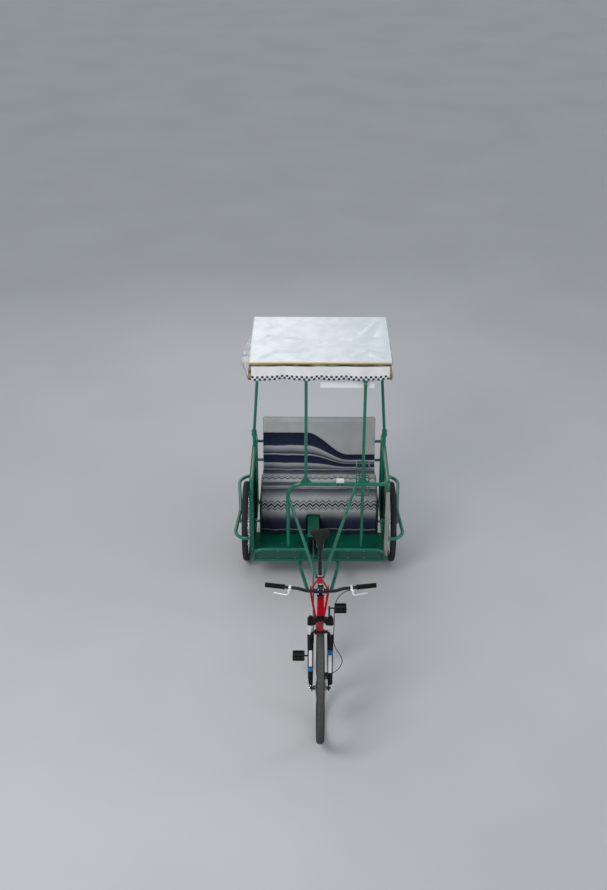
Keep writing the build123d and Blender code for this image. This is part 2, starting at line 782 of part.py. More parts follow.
def corner_post():
    """Left front corner post, up to the bend of the rail."""
    post = rod([(post_x, cab_half_width, floor_top), (post_x, cab_half_width, rail_height)], tube_radius)
    return (post - front_rail(seat_gap)).solids().sort_by(SortBy.VOLUME)[-1]


def braces():
    """Two bars from the front rail down to the bicycle's seat tube."""
    pair = []
    joint = seat_tube_point(seat_tube_length - 20)
    rail = front_rail(seat_gap)
    seat = rod([seat_tube_point(200), seat_tube_point(600)], seat_tube_radius + seat_gap)
    for y, z in brace_tops:
        side = 1 if y > 0 else -1
        bar = rod([(post_x, y, z), joint + Vector(0, side * 24, 0)], 11)
        pair.append((bar - rail - seat).solids().sort_by(SortBy.VOLUME)[-1])
    return pair


def front_posts():
    """Two posts from the rail to the canopy, braced by gussets; the left one also stands on the floor."""
    posts = []
    top = canopy_top - canopy_wall - 2 * canopy_tube_radius - seat_gap
    rail = front_rail(seat_gap)
    for place in front_post_places:
        post = rod([(post_x, place, rail_height), (post_x, place, top)], post_radius)
        web = Polygon((-gusset, 0), (gusset, 0), (0, gusset + 25), align=None)
        web = extrude(Plane.YZ * web, 3, both=True)
        post += Pos(post_x, place, rail_height) * web
        posts.append((post - rail).solids().sort_by(SortBy.VOLUME)[-1])
    foot = rod([(post_x, place, floor_top), (post_x, place, rail_height)], post_radius)
    posts.append((foot - rail).solids().sort_by(SortBy.VOLUME)[-1])
    return posts


def rod_cage():
    """Wire cage for a bottle behind the left front post: three hoops, uprights and a wire bottom."""
    front = post_x - tube_radius - seat_gap - cage_wire + 0.5
    back = front - cage_depth
    middle = front_post_places[1]
    left, right = middle - cage_width / 2, middle + cage_width / 2
    cage = None
    for height in (cage_low, (cage_low + cage_high) / 2, cage_high):
        hoop = rod(
            [(front, left, height), (back, left, height), (back, right, height), (front, right, height)],
            cage_wire,
            14,
        )
        hoop += rod([(front, left, height), (front, right, height)], cage_wire - 1)
        cage = hoop if cage is None else cage + hoop
    for x, y in ((front, left), (front, right), (back, left + 24), (back, right - 24)):
        cage += rod([(x, y, cage_low), (x, y, cage_high)], cage_wire - 0.5)
    for y in (middle - 18, middle + 18):
        cage += rod([(front, y, cage_low), (back, y, cage_low)], cage_wire - 1.5)
    return cage


def uprights():
    """Side posts: lower tube from the floor frame, sleeve, and upper tube to the canopy."""
    pair = []
    low = floor_tube_height + floor_tube / 2
    top = canopy_top - canopy_wall - 2 * canopy_tube_radius - seat_gap
    for side in (-1, 1):
        y = side * cab_half_width
        post = rod([(side_post_x, y, low), (side_post_x, y, sleeve_height)], tube_radius)
        post += Pos(side_post_x, y, sleeve_height) * Cylinder(sleeve_radius, 60)
        post += rod([(side_post_x, y, sleeve_height), (side_post_x, side * canopy_tube_place, top)], post_radius)
        rail = rod([(rear_post_x, y, rail_height), (post_x, y, rail_height)], tube_radius + seat_gap)
        pair.append(post - rail)
    return pair


def canopy_frame():
    """Bent tube round the front and sides under the canopy, with two cross tubes."""
    back = rear_axle_x - canopy_rear_behind + canopy_wall + canopy_tube_radius + 2
    side = canopy_tube_place
    height = canopy_top - canopy_wall - canopy_tube_radius
    frame = rod(
        [(back, -side, height), (post_x, -side, height), (post_x, side, height), (back, side, height)],
        canopy_tube_radius,
        45,
    )
    for x in (back + canopy_tube_radius + 5, side_post_x):
        frame += cross_bar(x, height, side, canopy_tube_radius - 1)
    return frame


def canopy():
    """Roof sheet with hanging valances, open below."""
    front = rear_axle_x + canopy_front_ahead
    back = rear_axle_x - canopy_rear_behind
    middle = (front + back) / 2

    def body(inset):
        top = Pos(middle, 0, canopy_top - inset) * Rectangle(
            front - back - 2 * inset, 2 * (canopy_half_width - inset)
        )
        hem = Pos(middle, 0, canopy_bottom - (9 if inset else 0)) * Rectangle(
            front - back - 2 * inset, 2 * (canopy_half_width + canopy_flare - inset)
        )
        return loft([hem, top])

    return body(0) - body(canopy_wall)


def sign_board():
    """Blank board hung behind the front posts."""
    face = post_x - post_radius - face_gap
    return block((face - sign_thickness, face), (0, sign_width), (sign_top - sign_height, sign_top))


def seat_base():
    """Seat box: front board, sides, and pan, with notches for chain and axle."""
    front = seat_front_x
    back = rear_post_x + tube_radius + 2
    box = block((back, front), (-seat_half_width, seat_half_width), (floor_top + seat_gap, seat_base_top))
    inner = block(
        (back - 9, front - seat_board),
        (-seat_half_width + seat_board, seat_half_width - seat_board),
        (0, seat_base_top - seat_board),
    )
    gate = block(
        (front - 40, front + 9),
        (-chain_line - tunnel_half_width + 3, -chain_line + tunnel_half_width - 3),
        (0, tunnel_top - 3),
    )
    axle_way = ring_y(rear_axle_x, 0, rear_tyre_radius, axle_radius + 8, 0, 3 * seat_half_width)
    return box - inner - gate - axle_way


def seat_cushion():
    front = seat_front_x
    back = rear_post_x + tube_radius + 2
    pad = block(
        (back, front), (-seat_half_width, seat_half_width),
        (seat_base_top + seat_gap, seat_base_top + cushion_thickness),
    )
    return fillet(pad.edges().group_by(Axis.Z)[-1], 20)


def seat_back():
    """Padded back leaning on the rear cross bars."""
    pad = Box(back_thickness, 2 * seat_half_width, back_height)
    pad = fillet(pad.edges(), back_round)
    place = Pos(rear_axle_x - back_middle_behind, 0, (back_top + back_bottom) / 2)
    bars = [cross_bar(rear_post_x, z, 700, back_bar_radius + seat_gap) for z in back_bar_heights]
    posts = [
        rod([(rear_post_x, side * cab_half_width, 400), (rear_post_x, side * cab_half_width, 1200)], tube_radius + 3)
        for side in (-1, 1)
    ]
    return place * Rot(0, -back_lean, 0) * pad - bars - posts


def blanket():
    """Blanket over the seat: up the back, along the cushion and down the front."""
    middle = blanket_thickness / 2 + seat_gap
    top = seat_base_top + cushion_thickness + middle
    front = seat_front_x + middle
    face = rear_axle_x - back_middle_behind + back_thickness / 2 / cos(back_turn)
    back = face - (top - (back_top + back_bottom) / 2) * tan(back_turn) + middle / cos(back_turn)
    path = FilletPolyline(
        (front, 0, blanket_hem), (front, 0, top), (back, 0, top),
        (back - blanket_up_back * tan(back_turn), 0, top + blanket_up_back), radius=[22, 16],
    )
    section = Plane(origin=path @ 0, x_dir=(0, 1, 0), z_dir=path % 0) * Rectangle(
        2 * blanket_half_width, blanket_thickness
    )
    gate = block(
        (seat_front_x, front + 50),
        (-chain_line - tunnel_half_width - 2, -chain_line + tunnel_half_width + 2),
        (0, tunnel_top + 2),
    )
    return sweep(section, path=path) - gate


def panels():
    """Side sheets between cab and wheels, each folded inwards round its corner post."""
    pair = []
    high = rail_height + 8
    for side in (-1, 1):
        y = side * (cab_half_width + tube_radius + seat_gap + panel_thickness / 2)
        x_lip = post_x + tube_radius + seat_gap + panel_thickness / 2
        half = panel_thickness / 2
        sheet = block((side_post_x, x_lip + half), (y - half, y + half), (floor_tube_height, high))
        corner = sheet.edges().filter_by(Axis.Y).sort_by(lambda edge: edge.center().X + edge.center().Z)[-1]
        sheet = fillet(corner, rail_bend)
        lip_inner = side * (cab_half_width - 12)
        lip = block((x_lip - half, x_lip + half), sorted((lip_inner, y)), (floor_top + seat_gap, high - rail_bend - 10))
        sheet = sheet + lip
        pair.append(sheet - ring_y(rear_axle_x, y, rear_tyre_radius, axle_radius + 20, 0, 20))
    return pair


def guards():
    """Tube loops round the outside of the rear wheels, with a plate that carries the axle's end."""
    pair = []
    panel_face = cab_half_width + tube_radius + 2 * seat_gap + panel_thickness
    for side in (-1, 1):
        bulge = side * (cab_half_width + guard_bulge)
        pinch = side * (cab_half_width + guard_pinch)
        front = post_x + 2
        back = rear_post_x
        post_y = side * cab_half_width
        loop = rod(
            [
                (front, side * panel_face, guard_low),
                (front, bulge, guard_low),
                (rear_axle_x - 20, pinch, guard_pinch_height),
                (back, bulge, guard_high - 15),
                (back, post_y, guard_high),
            ],
            guard_radius,
            [guard_bend, 300, guard_bend],
        )
        rear_post = rod([(back, post_y, 0), (back, post_y, 800)], tube_radius + seat_gap)
        plate_y = side * (track / 2 + rear_hub_width / 2 + 12)
        plate_ends = (plate_y - axle_plate_thickness / 2, plate_y + axle_plate_thickness / 2)
        plate = block((rear_axle_x - 22, rear_axle_x + 22), plate_ends, (rear_tyre_radius, guard_pinch_height))
        plate += ring_y(rear_axle_x, plate_y, rear_tyre_radius, 22, 0, axle_plate_thickness)
        hole = ring_y(rear_axle_x, plate_y, rear_tyre_radius, axle_radius + running_gap, 0, 60)
        loop = (loop - rear_post).solids().sort_by(SortBy.VOLUME)[-1]
        pair.append(loop + plate - hole)
    return pair


def rail_lamp():
    """Small white lamp on the front rail."""
    low = rail_height + tube_radius
    body = block((post_x - 14, post_x + 14), (130, 190), (low + seat_gap, low + 30))
    return fillet(body.edges(), 4)


rear_bore = axle_radius + running_gap
guard_pair = guards()
panel_pair = panels()
nodes = {
    "bike_frame": bike_frame(),
    "saddle": saddle(),
    "chassis": chassis(),
    "floor": floor(),
    "toe_board": toe_board(),
    "front_rail": front_rail(),
    "side_rail": side_rail(),
    "corner_post": corner_post(),
    "braces": Compound(children=braces()),
    "front_posts": Compound(children=front_posts()),
    "rod_cage": rod_cage(),
    "uprights": Compound(children=uprights()),
    "canopy_frame": canopy_frame(),
    "canopy": canopy(),
    "sign_board": sign_board(),
    "seat_base": seat_base(),
    "seat_cushion": seat_cushion(),
    "seat_back": seat_back(),
    "blanket": blanket(),
    "panel_right": panel_pair[0],
    "panel_left": panel_pair[1],
    "guard_right": guard_pair[0],
    "guard_left": guard_pair[1],
    "rail_lamp": rail_lamp(),
    "chain": chain(),
    "fork_upper": fork_upper(),
    "fork_lowers": fork_lowers(),
    "stem": stem(),
    "handlebar": handlebar(),
    "grips": Compound(children=grips()),
    "brake_levers": Compound(children=brake_levers()),
    "caliper": caliper(),
    "brake_hose": brake_hose(),
    "front_tyre": tyre(front_axle_x, 0, front_tyre_radius, front_tyre_width, front_rim_radius),
    "front_wheel": front_wheel(),
    "right_tyre": tyre(rear_axle_x, -track / 2, rear_tyre_radius, rear_tyre_width, rear_rim_radius),
    "right_wheel": rear_wheel(-1, axle_radius + seat_gap / 2),
    "axle": axle(),
    "left_tyre": tyre(rear_axle_x, track / 2, rear_tyre_radius, rear_tyre_width, rear_rim_radius),
    "left_wheel": rear_wheel(1, rear_bore),
    "crankset": crankset(),
    "pedal_right": pedal(-1),
    "pedal_left": pedal(1),
}

os.makedirs("parts", exist_ok=True)
for name, solid in nodes.items():
    export_step(solid, "parts/" + name + ".step")
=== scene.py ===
import math
import bmesh
import bpy
from mathutils import Matrix, Vector, noise
from mathutils.bvhtree import BVHTree


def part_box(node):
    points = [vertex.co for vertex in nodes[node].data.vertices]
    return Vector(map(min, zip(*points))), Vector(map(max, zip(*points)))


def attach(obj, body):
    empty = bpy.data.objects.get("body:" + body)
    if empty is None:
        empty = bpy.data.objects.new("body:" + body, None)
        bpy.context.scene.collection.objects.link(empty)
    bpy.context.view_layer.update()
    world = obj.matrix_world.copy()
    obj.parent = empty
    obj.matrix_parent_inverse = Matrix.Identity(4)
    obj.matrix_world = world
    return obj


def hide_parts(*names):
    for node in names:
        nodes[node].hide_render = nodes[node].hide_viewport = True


# A three-wheeled pedicab. Metres, +X forward, +Y to the vehicle's left, +Z up.
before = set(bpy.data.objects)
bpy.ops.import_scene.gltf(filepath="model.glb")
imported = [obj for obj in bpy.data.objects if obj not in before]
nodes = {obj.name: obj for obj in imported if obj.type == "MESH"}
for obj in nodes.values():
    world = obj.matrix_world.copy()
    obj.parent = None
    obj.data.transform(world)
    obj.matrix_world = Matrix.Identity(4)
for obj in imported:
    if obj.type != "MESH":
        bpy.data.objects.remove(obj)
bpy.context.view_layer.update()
scene = bpy.context.scene
print("frame loaded with", len(nodes), "nodes")

# Places shared by several pieces
headAngle = math.radians(70)
steerUp = Vector((-math.cos(headAngle), 0, math.sin(headAngle)))
steerAhead = Vector((math.sin(headAngle), 0, math.cos(headAngle)))
steerFoot = Vector((1.08435, 0, 0.34861))                # foot of the fork's offset
frontHub = Vector((1.12664, 0, 0.364))
rearHub = Vector((-0.97336, 0, 0.328))
crankHub = Vector((0.44964, 0, 0.300))
wheelSide = 0.594                                        # from the middle to each rear wheel
postX = -0.62836                                         # the front posts and the rail
railHeight = 0.89
tubeRadius = 0.015                                       # of the cab's main tubes
aheadX, acrossY, upZ = Vector((1, 0, 0)), Vector((0, 1, 0)), Vector((0, 0, 1))


def steerPoint(ahead, side, up):
    return steerFoot + steerAhead * ahead + acrossY * side + steerUp * up


# Tools for materials

materials = {}


def feed(material, target, inputs):
    # links an output to each socket, or sets its number or colour
    for key, value in inputs.items():
        if isinstance(value, bpy.types.NodeSocket):
            material.node_tree.links.new(value, target.inputs[key])
        else:
            target.inputs[key].default_value = value


def node(material, kind, inputs=None, **settings):
    made = material.node_tree.nodes.new(kind)
    for key, value in settings.items():
        setattr(made, key, value)
    feed(material, made, inputs or {})
    return made


def newMaterial(name):
    material = bpy.data.materials.new(name)
    material.use_nodes = True
    materials[name] = material
    shader = material.node_tree.nodes["Principled BSDF"]
    return material, shader, node(material, "ShaderNodeTexCoord").outputs["Object"]


def calc(material, operation, a, b=0.0):
    return node(material, "ShaderNodeMath", {0: a, 1: b}, operation=operation).outputs[0]


def between(material, value, low, high):
    over = calc(material, "GREATER_THAN", value, low)
    return calc(material, "MULTIPLY", over, calc(material, "LESS_THAN", value, high))


def vectorCalc(material, operation, a, b, output=0):
    return node(material, "ShaderNodeVectorMath", {0: a, 1: b}, operation=operation).outputs[output]


def axes(material, vector):
    return node(material, "ShaderNodeSeparateXYZ", {0: vector}).outputs


def grain(material, place, scale, detail=2.0):
    return node(material, "ShaderNodeTexNoise", {"Vector": place, "Scale": scale, "Detail": detail}).outputs[0]


def spread(material, value, low, high, fromLow=0.0, fromHigh=1.0):
    return node(material, "ShaderNodeMapRange", {0: value, 1: fromLow, 2: fromHigh, 3: low, 4: high}).outputs[0]


def cloud(material, place, size, low=0.4, high=0.6, detail=4.0):
    # a noise mask from 0 to 1 whose blobs are about size metres wide
    return spread(material, grain(material, place, 1 / size, detail), 0.0, 1.0, low, high)


def blend(material, share, first, second):
    first = (*first, 1) if isinstance(first, tuple) else first
    second = (*second, 1) if isinstance(second, tuple) else second
    return node(material, "ShaderNodeMix", {0: share, 6: first, 7: second}, data_type="RGBA").outputs[2]


def bump(material, height, strength, distance, under=None):
    inputs = {"Height": height, "Strength": strength, "Distance": distance}
    if under is not None:
        inputs["Normal"] = under
    return node(material, "ShaderNodeBump", inputs).outputs[0]


# Camera and stage

view = {
    "place": (7.0986, -0.066, 5.522),
    "down": 29.02,                # degrees below the horizon
    "turn": 0.43,                 # degrees off straight back
    "pixelFocal": 1162.26,        # focal length in pixels of the 607 x 890 photograph
    "photoHeight": 890,
    "sensor": 36,
}
studio = {
    "floor": 60, "drop": 0.001, "tones": ((0.50, 0.51, 0.53), (0.54, 0.55, 0.57)), "rough": 0.85,
    "sky": (0.90, 0.95, 1.0, 1), "skyStrength": 0.55,
    # softboxes: place, aimed at, size, power, colour
    "lamps": {
        "keyBox": ((3.5, -3.2, 5.6), (-0.2, 0, 0.8), 2.6, 190, (1.0, 0.97, 0.93)),
        "sideBox": ((0.5, 5.5, 3.0), (-0.2, 0, 0.8), 2.5, 50, (0.93, 0.96, 1.0)),
        "backBox": ((-5.5, -1.0, 4.0), (-0.4, 0, 0.9), 2.5, 40, (1.0, 1.0, 1.0)),
    },
}


def placed(name, data):
    thing = bpy.data.objects.new(name, data)
    scene.collection.objects.link(thing)
    return thing


def turned(direction):
    # the turn of a camera or lamp that looks along direction
    return Vector(direction).to_track_quat("-Z", "Y").to_euler()


def makeCamera():
    data = bpy.data.cameras.new("photoCamera")
    data.sensor_width = view["sensor"]
    data.lens = view["pixelFocal"] * view["sensor"] / view["photoHeight"]
    camera = placed("photoCamera", data)
    down, turn = math.radians(view["down"]), math.radians(view["turn"])
    flat = math.cos(down)
    camera.location = view["place"]
    camera.rotation_euler = turned((-math.cos(turn) * flat, -math.sin(turn) * flat, -math.sin(down)))
    scene.camera = camera


def makeStage():
    bm = bmesh.new()
    bmesh.ops.create_grid(bm, x_segments=1, y_segments=1, size=studio["floor"])
    mesh = bpy.data.meshes.new("studioFloor")
    bm.to_mesh(mesh)
    bm.free()
    floor = placed("studioFloor", mesh)
    floor.location.z = -studio["drop"]
    material, shader, place = newMaterial("studioFloor")
    tone = blend(material, cloud(material, place, 1.5, 0.3, 0.7), *studio["tones"])
    feed(material, shader, {"Base Color": tone, "Roughness": studio["rough"]})
    mesh.materials.append(material)
    scene.world = bpy.data.worlds.new("studioWorld")
    scene.world.use_nodes = True
    sky = scene.world.node_tree.nodes["Background"]
    sky.inputs["Color"].default_value = studio["sky"]
    sky.inputs["Strength"].default_value = studio["skyStrength"]
    for name, (place, aim, size, power, colour) in studio["lamps"].items():
        lamp = bpy.data.lights.new(name, "AREA")
        lamp.size, lamp.energy, lamp.color = size, power, colour
        box = placed(name, lamp)
        box.location = place
        box.rotation_euler = turned(Vector(aim) - Vector(place))
    scene.view_settings.view_transform = "Standard"


makeCamera()
makeStage()
print("camera and stage ready")

# Finishes: colour and worn colour (linear), roughness, size and height of the grain, what else differs
finishes = {
    "greenPaint": ((0.002, 0.130, 0.078), (0.004, 0.175, 0.108), 0.27, 0.004, 0.0002,
                   dict(coat=0.6, shine=0.3)),
    "greenSheet": ((0.001, 0.092, 0.054), (0.003, 0.125, 0.078), 0.45, 0.012, 0.0004,
                   dict(coat=0.1, shine=0.25)),
    "greySheet": ((0.33, 0.32, 0.30), (0.26, 0.25, 0.23), 0.45, 0.02, 0.0004, {}),
    "redPaint": ((0.50, 0.002, 0.012), (0.38, 0.002, 0.009), 0.36, 0.003, 0.0001, dict(coat=0.04, shine=0.03)),
    "blackAlloy": ((0.005, 0.005, 0.006), (0.009, 0.009, 0.010), 0.20, 0.002, 0.0001, dict(shine=0.45)),
    "blackPlastic": ((0.005, 0.005, 0.005), (0.009, 0.009, 0.009), 0.5, 0.0015, 0.0002, dict(shine=0.18)),
    "whitePlastic": ((0.80, 0.81, 0.80), (0.72, 0.72, 0.70), 0.3, 0.01, 0.0001, {}),
    "signWhite": ((0.93, 0.95, 0.96), (0.89, 0.91, 0.92), 0.4, 0.05, 0.0003, {}),
    "rubber": ((0.006, 0.006, 0.006), (0.013, 0.013, 0.012), 0.75, 0.002, 0.0003, dict(shine=0.12)),
    "alloy": ((0.68, 0.69, 0.71), (0.55, 0.56, 0.58), 0.25, 0.002, 0.00005, dict(metal=1.0)),
    "chromed": ((0.80, 0.81, 0.83), (0.74, 0.75, 0.77), 0.1, 0.004, 0.00003, dict(metal=1.0)),
    "leverAlloy": ((0.86, 0.87, 0.88), (0.76, 0.77, 0.78), 0.38, 0.003, 0.00005, dict(metal=0.5)),
    "steel": ((0.45, 0.45, 0.46), (0.30, 0.29, 0.28), 0.38, 0.003, 0.0001, dict(metal=1.0)),
    "chainSteel": ((0.20, 0.19, 0.18), (0.09, 0.08, 0.07), 0.42, 0.003, 0.0001, dict(metal=1.0)),
    "plywood": ((0.020, 0.085, 0.060), (0.030, 0.110, 0.080), 0.6, 0.02, 0.0008, {}),
    "seatVinyl": ((0.44, 0.46, 0.46), (0.38, 0.39, 0.38), 0.42, 0.0018, 0.0006, {}),
    "saddleVinyl": ((0.005, 0.005, 0.005), (0.010, 0.010, 0.010), 0.48, 0.0014, 0.0005, dict(shine=0.18)),
}


def makeFinish(name, look):
    colour, worn, rough, grainSize, relief, extra = look
    material, shader, place = newMaterial(name)
    patches = cloud(material, place, 0.16, 0.38, 0.62)
    specks = cloud(material, place, grainSize * 3, 0.45, 0.7)
    wear = {0: specks, 1: 0.35, 2: spread(material, patches, 0.0, 0.65)}
    share = node(material, "ShaderNodeMath", wear, operation="MULTIPLY_ADD").outputs[0]
    base = blend(material, share, colour, worn)
    feed(material, shader, {
        "Base Color": base,
        "Roughness": spread(material, patches, rough * 0.85, rough * 1.2),
        "Metallic": extra.get("metal", 0.0),
        "Coat Weight": extra.get("coat", 0.0), "Coat Roughness": 0.12,
        "Specular IOR Level": extra.get("shine", 0.5),
        "Normal": bump(material, grain(material, place, 1 / grainSize, 3.0), 0.5, relief),
    })
    return material, shader, place, base


for name, look in finishes.items():
    makeFinish(name, look)

fork = {
    "face": 0.031, "stripeSide": (0.054, 0.076), "crownFoot": 0.4299,
    # heights along the steering axis, on the left and the right leg
    "white": ((0.105, 0.226), (0.148, 0.259)), "blue": ((0.229, 0.259), (0.113, 0.141)),
    "black": ((0.004, 0.004, 0.005), (0.009, 0.009, 0.010)), "tube": ((0.86, 0.87, 0.89), (0.78, 0.79, 0.81)),
}


def steerSpace(material, place):
    # how far a point lies up along the steering axis, and ahead of it
    away = vectorCalc(material, "SUBTRACT", place, tuple(steerFoot))
    return [vectorCalc(material, "DOT_PRODUCT", away, tuple(axis), 1) for axis in (steerUp, steerAhead)]


def forkBands(material, side, up, heights):
    legs = calc(material, "GREATER_THAN", side), calc(material, "LESS_THAN", side)
    bands = [calc(material, "MULTIPLY", leg, between(material, up, *band)) for leg, band in zip(legs, heights)]
    return calc(material, "ADD", *bands)


def makeForkLegs():
    # black lowers with a plain white stripe and a small blue block on each leg's front
    material, shader, place = newMaterial("forkLegs")
    up, ahead = steerSpace(material, place)
    side = axes(material, place)[1]
    front = calc(material, "GREATER_THAN", ahead, fork["face"])
    narrow = between(material, calc(material, "ABSOLUTE", side), *fork["stripeSide"])
    narrow = calc(material, "MULTIPLY", front, narrow)
    stripe = calc(material, "MULTIPLY", narrow, forkBands(material, side, up, fork["white"]))
    block = calc(material, "MULTIPLY", front, forkBands(material, side, up, fork["blue"]))
    wear = cloud(material, place, 0.03)
    striped = blend(material, stripe, blend(material, wear, *fork["black"]), (0.75, 0.76, 0.78))
    feed(material, shader, {
        "Base Color": blend(material, block, striped, (0.02, 0.16, 0.42)),
        "Roughness": spread(material, wear, 0.25, 0.36), "Specular IOR Level": 0.25,
        "Normal": bump(material, grain(material, place, 350.0), 0.4, 0.0001),
    })


def makeForkCrown():
    # bright stanchions below a black crown and steerer
    material, shader, place = newMaterial("forkCrown")
    bright = calc(material, "LESS_THAN", steerSpace(material, place)[0], fork["crownFoot"])
    wear = cloud(material, place, 0.02)
    black, tube = blend(material, wear, *fork["black"]), blend(material, wear, *fork["tube"])
    feed(material, shader, {
        "Base Color": blend(material, bright, black, tube),
        "Metallic": calc(material, "MULTIPLY", bright, 0.6),
        "Roughness": spread(material, bright, 0.34, 0.28), "Specular IOR Level": 0.2,
        "Normal": bump(material, grain(material, place, 300.0), 0.4, 0.0001),
    })


# plate: the darker green of the toe board's plate, a painted shade
toeBoard = {"edge": 0.016, "lip": 0.030, "plate": (0.001, 0.075, 0.045)}


def makeToeBoard():
    # the plate between its rolled lip and lower edge is painted a darker green than the paint: painted shade,
    # as the plate faces forward and down
    material, shader, place, bright = makeFinish("toeBoard", finishes["greenPaint"])
    low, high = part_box("toe_board")
    height = axes(material, place)[2]
    plate = between(material, height, low.z + toeBoard["edge"], high.z - toeBoard["lip"])
    feed(material, shader, {"Base Color": blend(material, plate, bright, toeBoard["plate"])})


makeToeBoard()
makeForkLegs()
makeForkCrown()

# The finish of each CAD node
nodeFinishes = {
    "greenPaint": ["chassis", "front_rail", "side_rail", "corner_post", "braces", "front_posts", "rod_cage",
                   "uprights", "canopy_frame", "guard_right", "guard_left"],
    "greenSheet": ["floor", "panel_right"], "greySheet": ["panel_left"], "toeBoard": ["toe_board"],
    "redPaint": ["bike_frame"], "plywood": ["seat_base"], "whitePlastic": ["rail_lamp"],
    "signWhite": ["sign_board", "canopy"], "seatVinyl": ["seat_cushion", "seat_back", "blanket"],
    "saddleVinyl": ["saddle"], "chainSteel": ["chain"], "steel": ["axle"], "forkCrown": ["fork_upper"],
    "forkLegs": ["fork_lowers"], "leverAlloy": ["brake_levers"], "alloy": ["right_wheel", "left_wheel"],
    "blackAlloy": ["stem", "handlebar", "caliper", "front_wheel", "crankset"],
    "blackPlastic": ["brake_hose", "pedal_right", "pedal_left"],
    "rubber": ["grips", "front_tyre", "right_tyre", "left_tyre"],
}
nodeEdges = {"weld": 0.00002, "split": math.radians(32)}


def dressNode(part, material):
    if not part.material_slots:
        part.data.materials.append(material)
    for place in part.material_slots:
        place.link = "OBJECT"
        place.material = material
    for polygon in part.data.polygons:
        polygon.use_smooth = True
    part.modifiers.new("weld", "WELD").merge_threshold = nodeEdges["weld"]
    part.modifiers.new("split", "EDGE_SPLIT").split_angle = nodeEdges["split"]


for finish, names in nodeFinishes.items():
    for name in names:
        dressNode(nodes[name], materials[finish])
print("CAD nodes dressed")


# Tools for new pieces

def addPiece(name, bm, body, finish, replaces=(), sharp=35, outward=True):
    if outward:
        bmesh.ops.recalc_face_normals(bm, faces=bm.faces)
    mesh = bpy.data.meshes.new(name)
    bm.to_mesh(mesh)
    bm.free()
    for polygon in mesh.polygons:
        polygon.use_smooth = True
    mesh.set_sharp_from_angle(angle=math.radians(sharp))
    for one in [finish] if isinstance(finish, str) else finish:
        mesh.materials.append(materials[one])
    piece = placed(name, mesh)
    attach(piece, body)
    if replaces:
        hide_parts(*replaces)
    return piece


def thicken(piece, thickness, offset):
    wall = piece.modifiers.new("thickness", "SOLIDIFY")
    wall.thickness, wall.offset = thickness, offset


def wholeOf(verts):
    # the vertices with their edges and faces, each once
    edges = [e for v in verts for e in v.link_edges]
    return list(dict.fromkeys(verts + edges + [f for v in verts for f in v.link_faces]))


def facing(place, direction):
    # a matrix at place whose Z axis points along direction
    return Matrix.Translation(place) @ Vector(direction).to_track_quat("Z", "Y").to_matrix().to_4x4()


def addRod(bm, start, end, radius, segments=12, endRadius=None):
    start, end = Vector(start), Vector(end)
    return bmesh.ops.create_cone(
        bm, cap_ends=True, segments=segments, depth=(end - start).length, radius1=radius,
        radius2=endRadius or radius, matrix=facing((start + end) / 2, end - start),
    )["verts"]


def roundOff(bm, edges, offset, segments):
    bmesh.ops.bevel(bm, geom=edges, offset=offset, segments=segments, affect="EDGES", profile=0.5, material=-1)


def addBolt(bm, place, direction, radius, height, hexed=True):
    # a hexagon or a round socket head that stands on place
    place, direction = Vector(place), Vector(direction).normalized()
    verts = addRod(bm, place, place + direction * height, radius, 6 if hexed else 16)
    faces = [f for f in set(f for v in verts for f in v.link_faces) if f.normal.dot(direction) > 0.9]
    if hexed:
        roundOff(bm, list({e for f in faces for e in f.edges}), radius * 0.12, 1)
    else:
        bmesh.ops.inset_region(bm, faces=faces, thickness=radius * 0.45, depth=0)
        bmesh.ops.inset_region(bm, faces=faces, thickness=0.0001, depth=-height * 0.5)


def addSocketBolt(bm, place, direction, radius, height):
    addBolt(bm, place, direction, radius, height, hexed=False)


def addBox(bm, middle, size, bevel=0.0, segments=2, matrix=None):
    place = (matrix or Matrix()) @ Matrix.Translation(middle) @ Matrix.Diagonal((*size, 1))
    verts = bmesh.ops.create_cube(bm, size=1, matrix=place)["verts"]
    if bevel:
        roundOff(bm, list({e for v in verts for e in v.link_edges}), bevel, segments)
    return verts


def turnProfile(bm, points, matrix, steps, closed=True):
    # a section of (radius, height) points turned round the matrix's Z axis
    verts = [bm.verts.new(matrix @ Vector((radius, 0, height))) for radius, height in points]
    edges = [bm.edges.new(pair) for pair in zip(verts, verts[1:])]
    if closed:
        edges.append(bm.edges.new((verts[-1], verts[0])))
    bmesh.ops.spin(
        bm, geom=verts + edges, cent=matrix.translation, axis=matrix.to_3x3() @ upZ, angle=2 * math.pi,
        steps=steps, use_merge=True,
    )


def spinSection(bm, points, centre, steps, closed=True):
    # a section of (radius, y) points turned round the axle line through centre
    turnProfile(bm, points, Matrix.Translation(centre) @ Matrix.Rotation(-math.pi / 2, 4, "X"), steps, closed)


def closeHoles(bm):
    bmesh.ops.holes_fill(bm, edges=[e for e in bm.edges if e.is_boundary], sides=60)


def mirrored(points):
    # a half section carried on to the other side of its middle
    return points + [(radius, -y) for radius, y in reversed(points) if y]


def aroundY(angle, radius=1.0):
    return Matrix.Rotation(angle, 4, "Y") @ Vector((radius, 0, 0))


def repeatRound(bm, geom, centre, count):
    bmesh.ops.spin(
        bm, geom=geom, cent=centre, axis=acrossY, angle=2 * math.pi * (count - 1) / count,
        steps=count - 1, use_duplicate=True,
    )


def loftRings(bm, stations, segments=24):
    # stations: matrices whose unit circle in XY is a section of the form
    loops = []
    for number, station in enumerate(stations):
        last = number in (0, len(stations) - 1)
        made = bmesh.ops.create_circle(bm, cap_ends=last, segments=segments, radius=1.0, matrix=station)
        loops.append(list({e for v in made["verts"] for e in v.link_edges}))
    for first, second in zip(loops, loops[1:]):
        bmesh.ops.bridge_loops(bm, edges=first + second)


def eased(share):
    share = min(1.0, max(0.0, share))
    return share * share * (3 - 2 * share)


# Wheels

